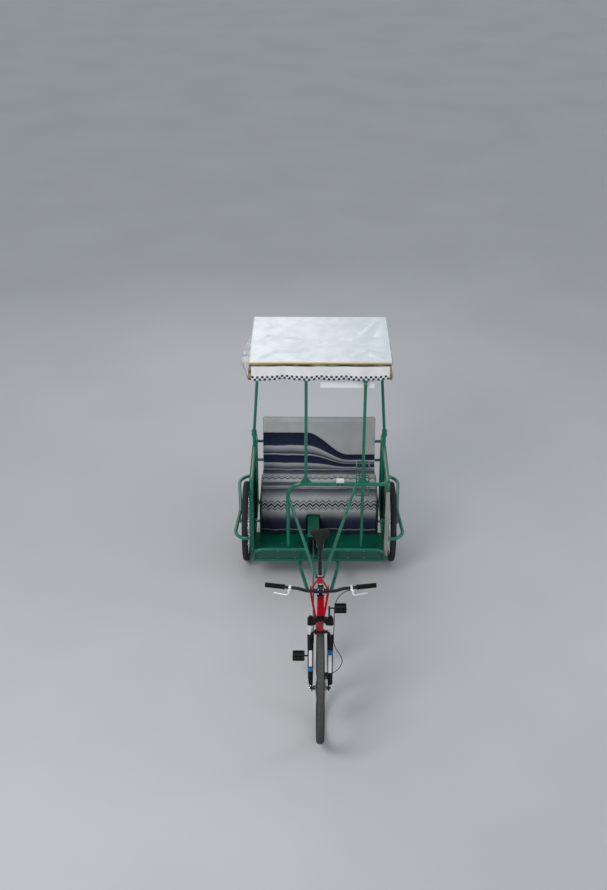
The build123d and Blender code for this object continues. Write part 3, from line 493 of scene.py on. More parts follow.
rearWheel = dict(radius=0.328, width=0.050, rim=0.286, hubHalf=0.038, flange=0.028, bore=0.0102,
                 finish="alloy", knobs=120, dust=0.050)
wheels = {
    "front": dict(hub=frontHub, radius=0.364, width=0.054, rim=0.318, hubHalf=0.0485, flange=0.030, bore=0.0062,
                  finish="blackAlloy", knobs=132, dust=0.120, body="front_wheel_body"),
    "right": dict(rearWheel, hub=rearHub - acrossY * wheelSide, body="drive_axle"),
    "left": dict(rearWheel, hub=rearHub + acrossY * wheelSide, body="left_wheel_body"),
}
tyre = {
    "steps": 120, "skin": 0.0022, "fall": 0.0125, "power": 2.4, "knobDeep": 0.0038, "knobSunk": 0.0021,
    "dustFrom": 0.011, "dustFull": 0.005,     # depths below the tread
    "sideRings": 2200.0,
    # knobs of one pitch: side, half width, half length, share of the pitch round the tyre
    "knobs": (
        (0.0035, 0.0026, 0.0066, 0.0), (-0.0035, 0.0026, 0.0066, 0.5), (0.0105, 0.0030, 0.0042, 0.25),
        (-0.0105, 0.0030, 0.0042, 0.75), (0.0180, 0.0032, 0.0046, 0.0), (-0.0180, 0.0032, 0.0046, 0.5),
    ),
}
# the rim's outer and inner wall: depth below its edge, and side
rimWalls = (
    [(0.0002, 0.0148), (0.0045, 0.0150), (0.010, 0.0140), (0.0165, 0.0095), (0.0198, 0.0050)],
    [(0.0002, 0.0128), (0.0050, 0.0118), (0.0060, 0.0)],
)
spokes = {
    "count": 32, "radius": 0.0011, "cross": math.radians(52), "hubRadius": 0.027, "endDepth": 0.0185,
    "nipple": (0.013, 0.0022, 0.0017),       # length and end radii
    "head": (0.003, 0.0024),                 # length and radius
}
valve = ((0.016, 0.050, 0.0030, None), (0.050, 0.060, 0.0040, 0.0034))    # depths in the rim, radii


def makeTyreFinish(name, look):
    # black side walls, and a tread made greyer by dust
    material, shader, place = newMaterial(name)
    hub, radius, dusty = look["hub"], look["radius"], look["dust"]
    flat = vectorCalc(material, "MULTIPLY", place, (1, 0, 1))
    away = vectorCalc(material, "DISTANCE", flat, (hub.x, 0, hub.z), 1)
    tread = spread(material, away, 0.0, 1.0, radius - tyre["dustFrom"], radius - tyre["dustFull"])
    patches = cloud(material, place, 0.02, 0.3, 0.7)
    dust = calc(material, "MULTIPLY", tread, spread(material, patches, 0.65, 1.0))
    scuffs = cloud(material, place, 0.05, 0.35, 0.65)
    side = blend(material, scuffs, (0.005, 0.005, 0.005), (0.012, 0.011, 0.011))
    rings = calc(material, "SINE", calc(material, "MULTIPLY", away, tyre["sideRings"]))
    under = bump(material, grain(material, place, 500.0), 0.4, 0.0003)
    feed(material, shader, {
        "Base Color": blend(material, dust, side, (dusty, dusty, dusty * 1.03)),
        "Roughness": spread(material, dust, 0.55, 0.85), "Specular IOR Level": 0.15,
        "Normal": bump(material, rings, 0.25, 0.0002, under),
    })


def makeTyre(name, look):
    hub, radius, rim, half = look["hub"], look["radius"], look["rim"], look["width"] / 2
    skin, fall, power = radius - tyre["skin"], tyre["fall"], tyre["power"]
    bm = bmesh.new()
    spinSection(bm, mirrored([
        (rim + 0.0004, 0.0120), (rim + 0.004, half * 0.70), (rim + 0.012, half * 0.93),
        (radius - 0.021, half * 0.985), (radius - 0.013, half * 0.90), (radius - 0.0065, half * 0.66),
        (skin - 0.0008, half * 0.32), (skin, 0.0),
    ]), hub, tyre["steps"])
    geom = []
    for side, wide, long, turn in tyre["knobs"]:
        share = abs(side) / half
        tilt = math.copysign(math.atan(power * fall / half * share ** (power - 1)), side)
        centre = (radius - tyre["knobSunk"] - fall * share ** power, side, 0)
        block = Matrix.Rotation(2 * math.pi / look["knobs"] * turn, 4, "Y") @ Matrix.Translation(centre)
        matrix = Matrix.Translation(hub) @ block @ Matrix.Rotation(tilt, 4, "Z")
        geom += wholeOf(addBox(bm, (0, 0, 0), (tyre["knobDeep"], 2 * wide, 2 * long), matrix=matrix))
    repeatRound(bm, geom, hub, look["knobs"])
    makeTyreFinish(name + "Rubber", look)
    addPiece(name + "Tread", bm, look["body"], name + "Rubber", (name + "_tyre",), sharp=40)


def makeWheel(name, look):
    hub, rim, body = look["hub"], look["rim"], look["body"]
    bm = bmesh.new()
    outer, inner = rimWalls
    outline = mirrored(outer) + mirrored(inner)[::-1]
    spinSection(bm, [(rim - depth, y) for depth, y in outline], hub, 128)
    addPiece(name + "Rim", bm, body, look["finish"], (name + "_wheel",), sharp=30)
    bm = bmesh.new()
    geom = []
    step = 2 * math.pi / spokes["count"]
    nippleLong, nippleRadius, nippleEnd = spokes["nipple"]
    headLong, headRadius = spokes["head"]
    for number in range(4):
        side = acrossY * (1 if number % 2 else -1)
        cross = spokes["cross"] if number < 2 else -spokes["cross"]
        foot = hub + aroundY(step * number + cross, spokes["hubRadius"]) + side * (look["flange"] + 0.003)
        tip = hub + aroundY(step * number, rim - spokes["endDepth"]) + side * 0.003
        geom += addRod(bm, foot, tip, spokes["radius"], 8)
        geom += addRod(bm, tip, tip + (foot - tip).normalized() * nippleLong, nippleRadius, 8, nippleEnd)
        # the spoke's head outside its flange
        geom += addRod(bm, foot - side * headLong / 2, foot + side * headLong / 2, headRadius, 8)
    repeatRound(bm, wholeOf(geom), hub, spokes["count"] // 4)
    addPiece(name + "Spokes", bm, body, "alloy", sharp=50)
    bm = bmesh.new()
    half, flange, bore = look["hubHalf"], look["flange"], look["bore"]
    spinSection(bm, mirrored([
        (bore, half), (0.0125, half), (0.0135, half - 0.004), (0.0150, flange + 0.006),
        (0.0225, flange + 0.0028), (0.0300, flange + 0.0022), (0.0312, flange), (0.0300, flange - 0.0022),
        (0.0225, flange - 0.0032), (0.0165, flange - 0.010), (0.0145, 0.008),
    ]), hub, 48)
    addPiece(name + "Hub", bm, body, look["finish"], sharp=35)
    bm = bmesh.new()
    for start, end, radius, endRadius in valve:
        ends = [hub + aroundY(step * 2.5, rim - depth) for depth in (start, end)]
        addRod(bm, *ends, radius, 10, endRadius)
    addPiece(name + "Valve", bm, body, "blackPlastic")


disc = {
    "side": 0.039, "outer": 0.080, "inner": 0.064, "band": 0.005, "thickness": 0.002, "slots": 60,
    "bore": 0.0165, "carrier": 0.024, "arms": 6, "armTurn": 0.45, "armSize": (0.0018, 0.006),
    "boltRound": 0.0205, "boltTurn": 0.2, "bolt": (0.0032, 0.0022),
}


def makeDisc():
    centre = frontHub + acrossY * disc["side"]
    middleY = -acrossY * disc["thickness"] / 2
    bm = bmesh.new()
    # braking track in three bands, with every third face of the middle one cut out
    radii = [disc["inner"], disc["inner"] + disc["band"], disc["outer"] - disc["band"], disc["outer"]]
    spinSection(bm, [(r, 0.0) for r in radii], centre, disc["slots"], closed=False)
    away = {f: f.calc_center_median() - centre for f in bm.faces}
    middle = [f for f in bm.faces if radii[1] < away[f].length < radii[2]]
    middle.sort(key=lambda f: math.atan2(*away[f].xz))
    bmesh.ops.delete(bm, geom=middle[::3], context="FACES")
    spinSection(bm, [(disc["bore"], 0.0), (disc["carrier"], 0.0)], centre, 48, closed=False)
    bmesh.ops.solidify(bm, geom=bm.faces[:], thickness=disc["thickness"])
    step = 2 * math.pi / disc["arms"]
    for number in range(disc["arms"]):
        inner = centre + aroundY(step * number, disc["carrier"] - 0.002) + middleY
        outer = centre + aroundY(step * number + disc["armTurn"], disc["inner"] + 0.002) + middleY
        along = outer - inner
        bar = Matrix.Translation((inner + outer) / 2) @ along.to_track_quat("X", "Y").to_matrix().to_4x4()
        addBox(bm, (0, 0, 0), (along.length, *disc["armSize"]), matrix=bar)
        bolt = centre + aroundY(step * number + disc["boltTurn"], disc["boltRound"])
        addSocketBolt(bm, bolt, acrossY, *disc["bolt"])
    addPiece("brakeDisc", bm, "front_wheel_body", "steel", sharp=30)


for name, look in wheels.items():
    makeTyre(name, look)
    makeWheel(name, look)
makeDisc()
print("wheels and tyres made")

# Canopy: one coated sheet with a flat roof and hanging valances

canopyLow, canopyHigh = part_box("canopy")
canopy = {
    "front": canopyHigh.x, "back": canopyLow.x, "top": canopyHigh.z, "drop": canopyHigh.z - canopyLow.z,
    "sideInset": 0.026, "square": 0.005, "flare": 0.030, "rows": 12, "step": 0.0115, "thickness": 0.0016,
    "trim": 0.034, "cornerTrim": 0.014,           # depth of the gold ribbon, and its width at the corners
    "bulge": 0.052, "bulgeAt": -0.89, "bulgeHalf": 0.28,    # of the right valance
    "sag": 0.010, "frontTube": 0.04, "crossTube": -1.223, "backTube": 0.03,
    "checkSize": 0.0358, "checkRows": 2, "lace": 0.014,
    "roof": ((0.77, 0.825, 0.87), (0.68, 0.74, 0.785)), "valance": ((0.90, 0.90, 0.88), (0.80, 0.81, 0.80)),
}
canopy["half"] = canopyHigh.y - canopy["sideInset"]
canopy["around"] = 2 * (canopy["front"] - canopy["back"]) + 4 * canopy["half"]
# a size of check that closes the pattern all round
canopy["check"] = canopy["around"] / (2 * round(canopy["around"] / canopy["checkSize"]))
# rise of the front hem, at shares of its width from the vehicle's right to its left
frontHem = [
    (0.0, 0.002), (0.05, -0.005), (0.12, -0.005), (0.25, 0.006), (0.34, 0.001), (0.42, -0.006), (0.49, 0.006),
    (0.56, -0.005), (0.67, 0.006), (0.75, -0.002), (0.83, -0.007), (0.90, -0.003), (0.97, 0.006), (1.0, 0.007),
]
# creases of the roof: start, end, height (valleys below 0) and half width
creases = [
    ((-1.40, 0.49), (-1.10, 0.33), 0.007, 0.020), ((-1.35, 0.49), (-1.06, 0.40), -0.005, 0.028),
    ((-1.20, 0.50), (-1.00, 0.47), 0.004, 0.016), ((-1.40, -0.49), (-1.22, -0.38), 0.006, 0.018),
    ((-0.66, -0.46), (-0.77, -0.34), 0.006, 0.016), ((-0.77, -0.34), (-0.80, -0.10), 0.005, 0.018),
    ((-0.72, 0.25), (-0.79, 0.34), 0.005, 0.014), ((-0.79, 0.34), (-0.70, 0.49), 0.006, 0.016),
    ((-0.98, -0.49), (-1.07, -0.40), 0.005, 0.014), ((-1.07, -0.40), (-1.05, -0.20), 0.004, 0.016),
    ((-1.00, 0.25), (-1.02, 0.49), 0.005, 0.018), ((-1.02, -0.25), (-0.96, 0.02), -0.004, 0.022),
    ((-0.96, 0.02), (-0.99, 0.20), -0.003, 0.022), ((-0.62, 0.48), (-0.72, 0.38), 0.005, 0.014),
    ((-0.62, -0.48), (-0.70, -0.40), 0.005, 0.014), ((-0.86, -0.30), (-0.84, 0.10), -0.003, 0.025),
]


def readTable(table, share):
    for (start, low), (end, high) in zip(table, table[1:]):
        if share <= end:
            return low + (high - low) * eased((share - start) / (end - start))
    return table[-1][1]


def roofRise(x, y):
    # the sheet hangs a little between the tubes under it, with creases pulled from its corners
    tubes = canopy["front"] - canopy["frontTube"], canopy["crossTube"], canopy["back"] + canopy["backTube"]
    rise = 0.0
    sideShare = max(0.0, 1 - (y / (canopy["half"] - 0.04)) ** 4)
    for front, back in zip(tubes, tubes[1:]):
        if back < x < front:
            along = (x - back) / (front - back)
            rise -= canopy["sag"] * (front - back) / 0.6 * 4 * along * (1 - along) * sideShare
    place = Vector((x, y))
    for start, end, height, width in creases:
        start, end = Vector(start), Vector(end)
        line = end - start
        share = max(0.0, min(1.0, (place - start).dot(line) / line.length_squared))
        near = (place - start.lerp(end, share)).length
        rise += height * math.exp(-(near / width) ** 2) * min(1.0, sideShare * 1.5 + 0.25)
    return rise + 0.0022 * noise.noise(Vector((x * 9, y * 9, 1.7))) * sideShare


def meets(first, second):
    return abs(first - second) < 1e-4


def hangOut(x, y, share):
    # how far a valance point moves out from the roof's edge, and how far its hem rises.
    # Each fold is its height times a wave along the edge
    front, back, half = canopy["front"], canopy["back"], canopy["half"]
    out = canopy["square"] * share * (y / half)
    if meets(x, front):
        across = (y / half + 1) / 2
        swing = 0.005 * share * math.sin(across * 19 + 0.6) + 0.003 * share * math.sin(across * 43)
        return Vector((swing - 0.004 * share, out, 0)), readTable(frontHem, across) * share
    if meets(x, back):
        swing = 0.006 * share * math.sin(y * 23 + 1.0)
        return Vector((swing, out, 0)), 0.007 * math.sin(y * 16) * share
    along = (x - back) / (front - back)
    ends = math.sin(math.pi * along) ** 0.5
    ripple = 0.006 * math.sin(along * 21 + (2 if y > 0 else 0))
    out += math.copysign(share * ends * (canopy["flare"] + ripple), y)
    if y < 0:
        belly = math.sin(math.pi * min(1.0, share * 0.75))
        out -= canopy["bulge"] * ends * belly * math.exp(-((x - canopy["bulgeAt"]) / canopy["bulgeHalf"]) ** 2)
    return Vector((0, out, 0)), 0.008 * math.sin(along * 17 + y) * share * ends


def laceOver(material, place, along, above):
    # a net of small pale lozenges on the side valances; its gaps are painted near black in patches and pale
    # grey elsewhere, as painted shade and light seen through the lace
    size = canopy["lace"]
    slants = [calc(material, way, along, above) for way in ("ADD", "SUBTRACT")]
    slants = [calc(material, "PINGPONG", slant, size) for slant in slants]
    lines = calc(material, "LESS_THAN", calc(material, "MINIMUM", *slants), size * 0.30)
    patches = cloud(material, place, 0.030, 0.47, 0.54, 2.0)
    # the gaps' colour: painted shade and light seen through the lace
    gapShadeAndLight = blend(material, patches, (0.020, 0.022, 0.024), (0.66, 0.69, 0.70))
    return blend(material, lines, gapShadeAndLight, (0.88, 0.90, 0.90))


def makeCanopyFinish(name, lace):
    material, shader, place = newMaterial(name)
    along, above = axes(material, node(material, "ShaderNodeUVMap", uv_map="cloth").outputs[0])[:2]
    soiled = cloud(material, place, 0.09, 0.35, 0.7)
    hanging = calc(material, "LESS_THAN", above, canopy["drop"] + 0.001)
    roof, valance = blend(material, soiled, *canopy["roof"]), blend(material, soiled, *canopy["valance"])
    base = laceOver(material, place, along, above) if lace else blend(material, hanging, roof, valance)
    cells = [calc(material, "FLOOR", calc(material, "DIVIDE", way, canopy["check"])) for way in (along, above)]
    odd = calc(material, "FLOORED_MODULO", calc(material, "ADD", *cells), 2.0)
    inBand = between(material, above, 0.0, canopy["check"] * canopy["checkRows"])
    black = calc(material, "MULTIPLY", calc(material, "GREATER_THAN", odd, 0.5), inBand)
    light = blend(material, inBand, base, (0.80, 0.82, 0.82))
    under = bump(material, grain(material, place, 22.0, 5.0), 0.35, 0.004)
    feed(material, shader, {
        "Base Color": blend(material, black, light, (0.010, 0.010, 0.011)),
        "Roughness": spread(material, soiled, 0.34, 0.46), "Coat Weight": 0.15, "Coat Roughness": 0.25,
        "Normal": bump(material, grain(material, place, 900.0), 0.3, 0.0002, under),
    })


def makeGoldFinish():
    material, shader, place = newMaterial("goldTrim")
    folds = grain(material, vectorCalc(material, "MULTIPLY", place, (1, 0.22, 1)), 34.0, 3.0)
    # the rolled upper edge catches the light: a painted highlight in cream
    lit = spread(material, axes(material, place)[2], 0.0, 1.0, canopy["top"] - 0.024, canopy["top"] - 0.006)
    # along the folds the colour runs from dark olive to cream: painted shade and painted highlights of the
    # shiny ribbon
    shade = calc(material, "MAXIMUM", spread(material, folds, 0.0, 0.55, 0.35, 0.65), lit)
    under = bump(material, folds, 0.6, 0.004)
    feed(material, shader, {
        "Base Color": blend(material, shade, (0.060, 0.043, 0.015), (0.78, 0.70, 0.46)),
        "Metallic": 0.35, "Roughness": spread(material, shade, 0.28, 0.42),
        "Normal": bump(material, grain(material, place, 160.0), 0.3, 0.0005, under),
    })


def makeCanopy():
    front, back, half, top = canopy["front"], canopy["back"], canopy["half"], canopy["top"]
    rows, drop, around = canopy["rows"], canopy["drop"], canopy["around"]
    deep, wide = front - back, 2 * half
    bm = bmesh.new()
    along = bm.verts.layers.float.new("along")
    hang = bm.verts.layers.int.new("hang")
    matrix = Matrix.Translation(((front + back) / 2, 0, 0)) @ Matrix.Diagonal((deep, wide, 1, 1))
    columns, ranks = round(deep / canopy["step"]), round(wide / canopy["step"])
    bmesh.ops.create_grid(bm, x_segments=columns, y_segments=ranks, size=0.5, matrix=matrix)
    rim = [e for e in bm.edges if e.is_boundary]
    # distance round the roof's edge, from the middle of the back by way of the right side
    for v in {v for e in rim for v in e.verts}:
        x, y = v.co.x, v.co.y
        if meets(y, -half):
            v[along] = half + (x - back)
        elif meets(x, front):
            v[along] = half + deep + (y + half)
        elif meets(y, half):
            v[along] = half + deep + wide + (front - x)
        else:
            v[along] = -y if y < 0 else 2 * wide + 2 * deep - y
    for row in range(1, rows + 1):
        made = bmesh.ops.extrude_edge_only(bm, edges=rim)["geom"]
        for v in [g for g in made if isinstance(g, bmesh.types.BMVert)]:
            v[hang] = row
        rim = [g for g in made if isinstance(g, bmesh.types.BMEdge) and all(v[hang] == row for v in g.verts)]
    cloth = bm.loops.layers.uv.new("cloth")
    for face in bm.faces:
        onValance = max(v[hang] for v in face.verts) > 0
        far = max(v[along] for v in face.verts)
        face.material_index = int(onValance and all(meets(abs(v.co.y), half) for v in face.verts))
        for loop in face.loops:
            v = loop.vert
            if onValance:
                u = v[along] + (around if far - v[along] > 1 else 0)
                loop[cloth].uv = (u, (1 - v[hang] / rows) * drop)
            else:
                loop[cloth].uv = (v.co.x, 1 + v.co.y)
    for v in bm.verts:
        x, y, share = v.co.x, v.co.y, v[hang] / rows
        if v[hang]:
            out, rise = hangOut(x, y, share)
            v.co = Vector((x, y, top - share * drop + rise)) + out
        else:
            v.co.z = top - 0.0005 + roofRise(x, y)
    bmesh.ops.recalc_face_normals(bm, faces=bm.faces)
    trim = bm.copy()
    if sum(f.normal.z for f in bm.faces if f.material_index == 0) < 0:
        bmesh.ops.reverse_faces(bm, faces=bm.faces)
    cloths = ("canopyCloth", "laceCloth")
    piece = addPiece("canopySkin", bm, "cab", cloths, ("canopy",), sharp=50, outward=False)
    thicken(piece, canopy["thickness"], -1)
    makeRibbon(trim)


def makeRibbon(bm):
    # gold ribbon along the front's top and down its two corners, cut from a copy of the sheet
    front, back, half, drop = canopy["front"], canopy["back"], canopy["half"], canopy["drop"]
    hang, along = bm.verts.layers.int["hang"], bm.verts.layers.float["along"]
    start, corner = half + front - back, canopy["cornerTrim"]
    end = start + 2 * half

    def inRibbon(face):
        u = sum(v[along] for v in face.verts) / len(face.verts)
        h = sum(v[hang] for v in face.verts) / len(face.verts) / canopy["rows"] * drop
        onFront = max(v[hang] for v in face.verts) > 0 and min(v.co.x for v in face.verts) > front - 0.1
        atCorner = u < start + corner or u > end - corner
        return onFront and start - corner < u < end + corner and (h < canopy["trim"] or atCorner)

    bmesh.ops.delete(bm, geom=[f for f in bm.faces if not inRibbon(f)], context="FACES")
    middle = Vector(((front + back) / 2, 0, canopy["top"] - drop / 2))
    if sum((f.calc_center_median() - middle).dot(f.normal) for f in bm.faces) < 0:
        bmesh.ops.reverse_faces(bm, faces=bm.faces)
    thicken(addPiece("goldRibbon", bm, "cab", "goldTrim", outward=False, sharp=50), 0.0016, 1)


makeCanopyFinish("canopyCloth", lace=False)
makeCanopyFinish("laceCloth", lace=True)
makeGoldFinish()
makeCanopy()
print("canopy made")


# Seat: two pads swollen by cloth simulation

cushionLow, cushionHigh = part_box("seat_cushion")
backLow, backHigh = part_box("seat_back")
seatBack = {"bottom": 0.615, "top": 1.068, "thickness": 0.060, "lean": math.radians(11), "half": 0.485}
pads = {"pressure": 3.0, "frames": 20, "quality": 5, "smooth": (0.5, 6), "fill": 0.7, "inset": 0.010}
seatBack["tall"] = (seatBack["top"] - seatBack["bottom"]) / 2
backMiddle = Vector(((backLow.x + backHigh.x) / 2, 0, (seatBack["top"] + seatBack["bottom"]) / 2))
backPlace = Matrix.Translation(backMiddle) @ Matrix.Rotation(-seatBack["lean"], 4, "Y")


def applied(piece):
    # the piece's mesh with its modifiers
    dg = bpy.context.evaluated_depsgraph_get()
    mesh = bpy.data.meshes.new_from_object(piece.evaluated_get(dg), preserve_all_data_layers=True, depsgraph=dg)
    old = piece.data
    piece.modifiers.clear()
    piece.data = mesh
    bpy.data.meshes.remove(old)


def inflate(piece, cap):
    # swells a closed form with cloth under pressure, and holds each point within cap of its start
    start = [v.co.copy() for v in piece.data.vertices]
    cloth = piece.modifiers.new("cloth", "CLOTH")
    cloth.settings.quality = pads["quality"]
    cloth.settings.use_pressure = True
    cloth.settings.uniform_pressure_force = pads["pressure"]
    cloth.settings.effector_weights.gravity = 0
    for number in range(1, pads["frames"] + 1):
        scene.frame_set(number)
    dg = bpy.context.evaluated_depsgraph_get()
    swollen = [v.co.copy() for v in piece.evaluated_get(dg).data.vertices]
    piece.modifiers.remove(cloth)
    for vertex, old, new in zip(piece.data.vertices, start, swollen):
        move = new - old
        if move.length > cap:
            move *= cap / move.length
        vertex.co = old + move
    scene.frame_set(1)


def softPad(name, bm, voxel, cap, replaced):
    piece = addPiece(name, bm, "cab", "seatVinyl", (replaced,), sharp=180)
    mesher = piece.modifiers.new("voxels", "REMESH")
    mesher.mode = "VOXEL"
    mesher.voxel_size = voxel
    applied(piece)
    inflate(piece, cap)
    smooth = piece.modifiers.new("smooth", "SMOOTH")
    smooth.factor, smooth.iterations = pads["smooth"]
    applied(piece)
    for polygon in piece.data.polygons:
        polygon.use_smooth = True


def makeSeat():
    low, high = cushionLow + Vector((0.006, 0.006, 0.002)), cushionHigh - Vector((0.006, 0.006, 0.010))
    bm = bmesh.new()
    addBox(bm, (low + high) / 2, high - low, 0.022, 3)
    softPad("seatPad", bm, 0.009, 0.009, "seat_cushion")
    inset = pads["inset"]
    size = Vector((seatBack["thickness"] / 2 - inset, seatBack["half"] - inset, seatBack["tall"] - inset))
    bm = bmesh.new()
    addBox(bm, (0, 0, 0), size * 2, 0.016, 3)
    bmesh.ops.transform(bm, matrix=backPlace, verts=bm.verts[:])
    softPad("backPad", bm, 0.008, 0.010, "seat_back")


makeSeat()
print("seat made")

# Blanket: woven, draped from the seat's back over the cushion and down its front

blanket = {
    "half": 0.465, "hem": 0.252, "corner": 0.030, "thickness": 0.0026, "step": 0.0095,
    "clear": 0.0045,                          # from the cushion and the back to the cloth
    "backFoot": -1.3415,                      # where it leaves the cushion for the back
    "upRight": 0.330, "upLeft": 0.140,        # how far it climbs the back at each side
    "fallFrom": -0.10, "fallWide": 0.34,      # where its upper edge falls from right to left
    "gate": (-0.0965, 0.0065, 0.418),         # the chain tunnel against the seat: sides and height
    "long": 1.10,                             # cloth that the stripes are laid out over
    "zigzag": 0.026,                          # width of one slope, then rows: metres from the hem, half height
    "rows": ((0.262, 0.0085), (0.292, 0.0045), (0.232, 0.0045), (0.605, 0.0085), (0.632, 0.0040)),
    "rib": 0.0016,
}
yarn = {
    "navy": (0.006, 0.011, 0.040), "blue": (0.012, 0.022, 0.075), "pale": (0.60, 0.62, 0.64),
    "grey": (0.24, 0.26, 0.29), "dark": (0.050, 0.060, 0.085), "black": (0.012, 0.013, 0.016),
}
# metres from the hem
stripes = [
    (0.000, "navy"), (0.026, "navy"), (0.031, "pale"), (0.036, "navy"), (0.095, "blue"), (0.130, "dark"),
    (0.160, "grey"), (0.205, "pale"), (0.320, "pale"), (0.355, "grey"), (0.400, "dark"), (0.440, "navy"),
    (0.447, "pale"), (0.454, "navy"), (0.480, "pale"), (0.487, "blue"), (0.530, "dark"), (0.560, "pale"),
    (0.650, "pale"), (0.690, "dark"), (0.735, "navy"), (0.743, "pale"), (0.750, "navy"), (0.800, "pale"),
    (0.808, "blue"), (0.870, "navy"), (0.880, "pale"), (0.888, "navy"), (0.950, "pale"), (0.960, "blue"),
    (1.040, "navy"),
]


def blanketPath():
    # corner points of the section, from the hem, as (x, z)
    front, top = cushionHigh.x + blanket["clear"], cushionHigh.z + blanket["clear"]
    climb = Vector((-math.sin(seatBack["lean"]), math.cos(seatBack["lean"]))) * blanket["upRight"]
    foot = Vector((blanket["backFoot"], top))
    return [Vector((front + 0.006, blanket["hem"])), Vector((front, top)), foot, foot + climb]


def walkPath(points, corner, step):
    # points along the section with rounded corners, and the distance walked to each
    curve = [points[0]]
    for before, here, after in zip(points, points[1:], points[2:]):
        into, out = (here - before).normalized(), (after - here).normalized()
        for number in range(9):
            share = number / 8
            a, b = here - into * corner * (1 - share), here + out * corner * share
            curve.append(a.lerp(b, share))
    curve.append(points[-1])
    total = sum((b - a).length for a, b in zip(curve, curve[1:]))
    count = round(total / step)
    steps, walked, number = [], 0.0, 0
    for a, b in zip(curve, curve[1:]):
        length = (b - a).length
        while number <= count and number * total / count <= walked + length + 1e-9:
            share = (number * total / count - walked) / length
            steps.append((a.lerp(b, share), (b - a).normalized(), number * total / count))
            number += 1
        walked += length
    return steps, total


def makeBlanketFinish():
    material, shader, place = newMaterial("sarape")
    across, along = axes(material, node(material, "ShaderNodeUVMap", uv_map="cloth").outputs[0])[:2]
    wander = grain(material, place, 5.0)
    shifted = calc(material, "ADD", along, spread(material, wander, -0.012, 0.012))
    ramp = node(material, "ShaderNodeValToRGB", {0: calc(material, "DIVIDE", shifted, blanket["long"])})
    elements = ramp.color_ramp.elements
    while len(elements) < len(stripes):
        elements.new(0.5)
    for element, (position, colour) in zip(elements, stripes):
        element.position, element.color = position / blanket["long"], (*yarn[colour], 1)
    base = ramp.outputs[0]
    # zigzag rows in the middle of the pale bands
    wave = calc(material, "PINGPONG", across, blanket["zigzag"])
    for level, half in blanket["rows"]:
        middle = calc(material, "ADD", wave, level - blanket["zigzag"] / 2)
        away = calc(material, "ABSOLUTE", calc(material, "SUBTRACT", shifted, middle))
        base = blend(material, calc(material, "LESS_THAN", away, half), base, yarn["black"])
    rib = calc(material, "PINGPONG", along, blanket["rib"])
    shade = spread(material, rib, 0.80, 1.0, 0.0, blanket["rib"])
    fibres = grain(material, place, 260.0, 3.0)
    # single rows of thread are lighter or darker than their neighbours
    threads = grain(material, node(material, "ShaderNodeCombineXYZ", {0: along}).outputs[0], 210.0)
    shade = calc(material, "MULTIPLY", shade, spread(material, threads, 0.72, 1.12, 0.35, 0.65))
    tone = calc(material, "MULTIPLY", shade, spread(material, fibres, 0.75, 1.2))
    mix = node(material, "ShaderNodeMix", {0: 1.0, 6: base, 7: tone}, data_type="RGBA", blend_type="MULTIPLY")
    under = bump(material, fibres, 0.6, 0.0008)
    feed(material, shader, {
        "Base Color": mix.outputs[2], "Roughness": 0.92, "Specular IOR Level": 0.2, "Sheen Weight": 0.25,
        "Normal": bump(material, calc(material, "DIVIDE", rib, blanket["rib"]), 0.7, 0.0010, under),
    })


def inGate(place):
    right, left, high = blanket["gate"]
    return right < place.y < left and place.z < high and place.x > cushionHigh.x - 0.01


def blanketPoint(point, forward, walked, total, y):
    # one point of the cloth, with its ripples at the hem and its folds where it lies
    normal = Vector((forward.y, -forward.x))
    hanging = max(0.0, 1 - walked / 0.30)
    climbed = max(0.0, (walked - (total - blanket["upRight"])) / blanket["upRight"])
    fall = eased((y - blanket["fallFrom"]) / blanket["fallWide"])
    keep = 1 - (1 - blanket["upLeft"] / blanket["upRight"]) * fall
    p = point - forward * climbed * (1 - keep) * blanket["upRight"]
    ripple = 0.007 * hanging ** 0.7 * math.sin(y * 31 + 1.4 * math.sin(y * 9) + walked * 2)
    ripple += 0.004 * hanging * math.sin(y * 67 + 2 * walked * 9)
    folds = noise.noise(Vector((y * 5 + walked * 4, walked * 3 - y * 2, 3.3)))
    lying = 0.0048 * max(0.0, abs(folds) * 2.2 - 0.25) * (1 - hanging * 0.6)
    push = max(0.0, ripple + 0.006 * hanging) + lying + 0.0012 * noise.noise(Vector((y * 24, walked * 24, 0)))
    lift = 0.006 * math.sin(y * 11 + 0.7) * max(0.0, 1 - walked / 0.12)
    return p.x + normal.x * push, y, p.y + normal.y * push + lift


def makeBlanket():
    path, total = walkPath(blanketPath(), blanket["corner"], blanket["step"])
    half = blanket["half"]
    columns = round(2 * half / blanket["step"])
    sides = [half * (2 * column / columns - 1) for column in range(columns + 1)]
    bm = bmesh.new()
    cloth = bm.loops.layers.uv.new("cloth")
    rows = [[bm.verts.new(blanketPoint(*step, total, y)) for y in sides] for step in path]
    for below, above, (_, _, low), (_, _, high) in zip(rows, rows[1:], path, path[1:]):
        for column in range(columns):
            if inGate(below[column].co) or inGate(above[column + 1].co):
                continue
            face = bm.faces.new((below[column], below[column + 1], above[column + 1], above[column]))
            left, right = (2 * half * number / columns for number in (column, column + 1))
            for loop, uv in zip(face.loops, ((left, low), (right, low), (right, high), (left, high))):
                loop[cloth].uv = uv
    bmesh.ops.recalc_face_normals(bm, faces=bm.faces)
    if sum(f.normal.z for f in bm.faces) < 0:
        bmesh.ops.reverse_faces(bm, faces=bm.faces)
    piece = addPiece("sarape", bm, "cab", "sarape", ("blanket",), outward=False, sharp=180)
    thicken(piece, blanket["thickness"], 1)


makeBlanketFinish()
makeBlanket()
print("blanket made")


# Tools for the fittings

def steerMatrix(ahead, side, up):
    turn = Matrix((steerAhead, acrossY, steerUp)).transposed().to_4x4()
    return Matrix.Translation(steerPoint(ahead, side, up)) @ turn


def addRivet(bm, place, direction, radius):
    dome = [(radius * wide, radius * high) for wide, high in ((1, 0.15), (0.86, 0.42), (0.5, 0.62))]
    turnProfile(bm, [(radius, -0.0005)] + dome, facing(place, direction), 12, closed=False)
    closeHoles(bm)


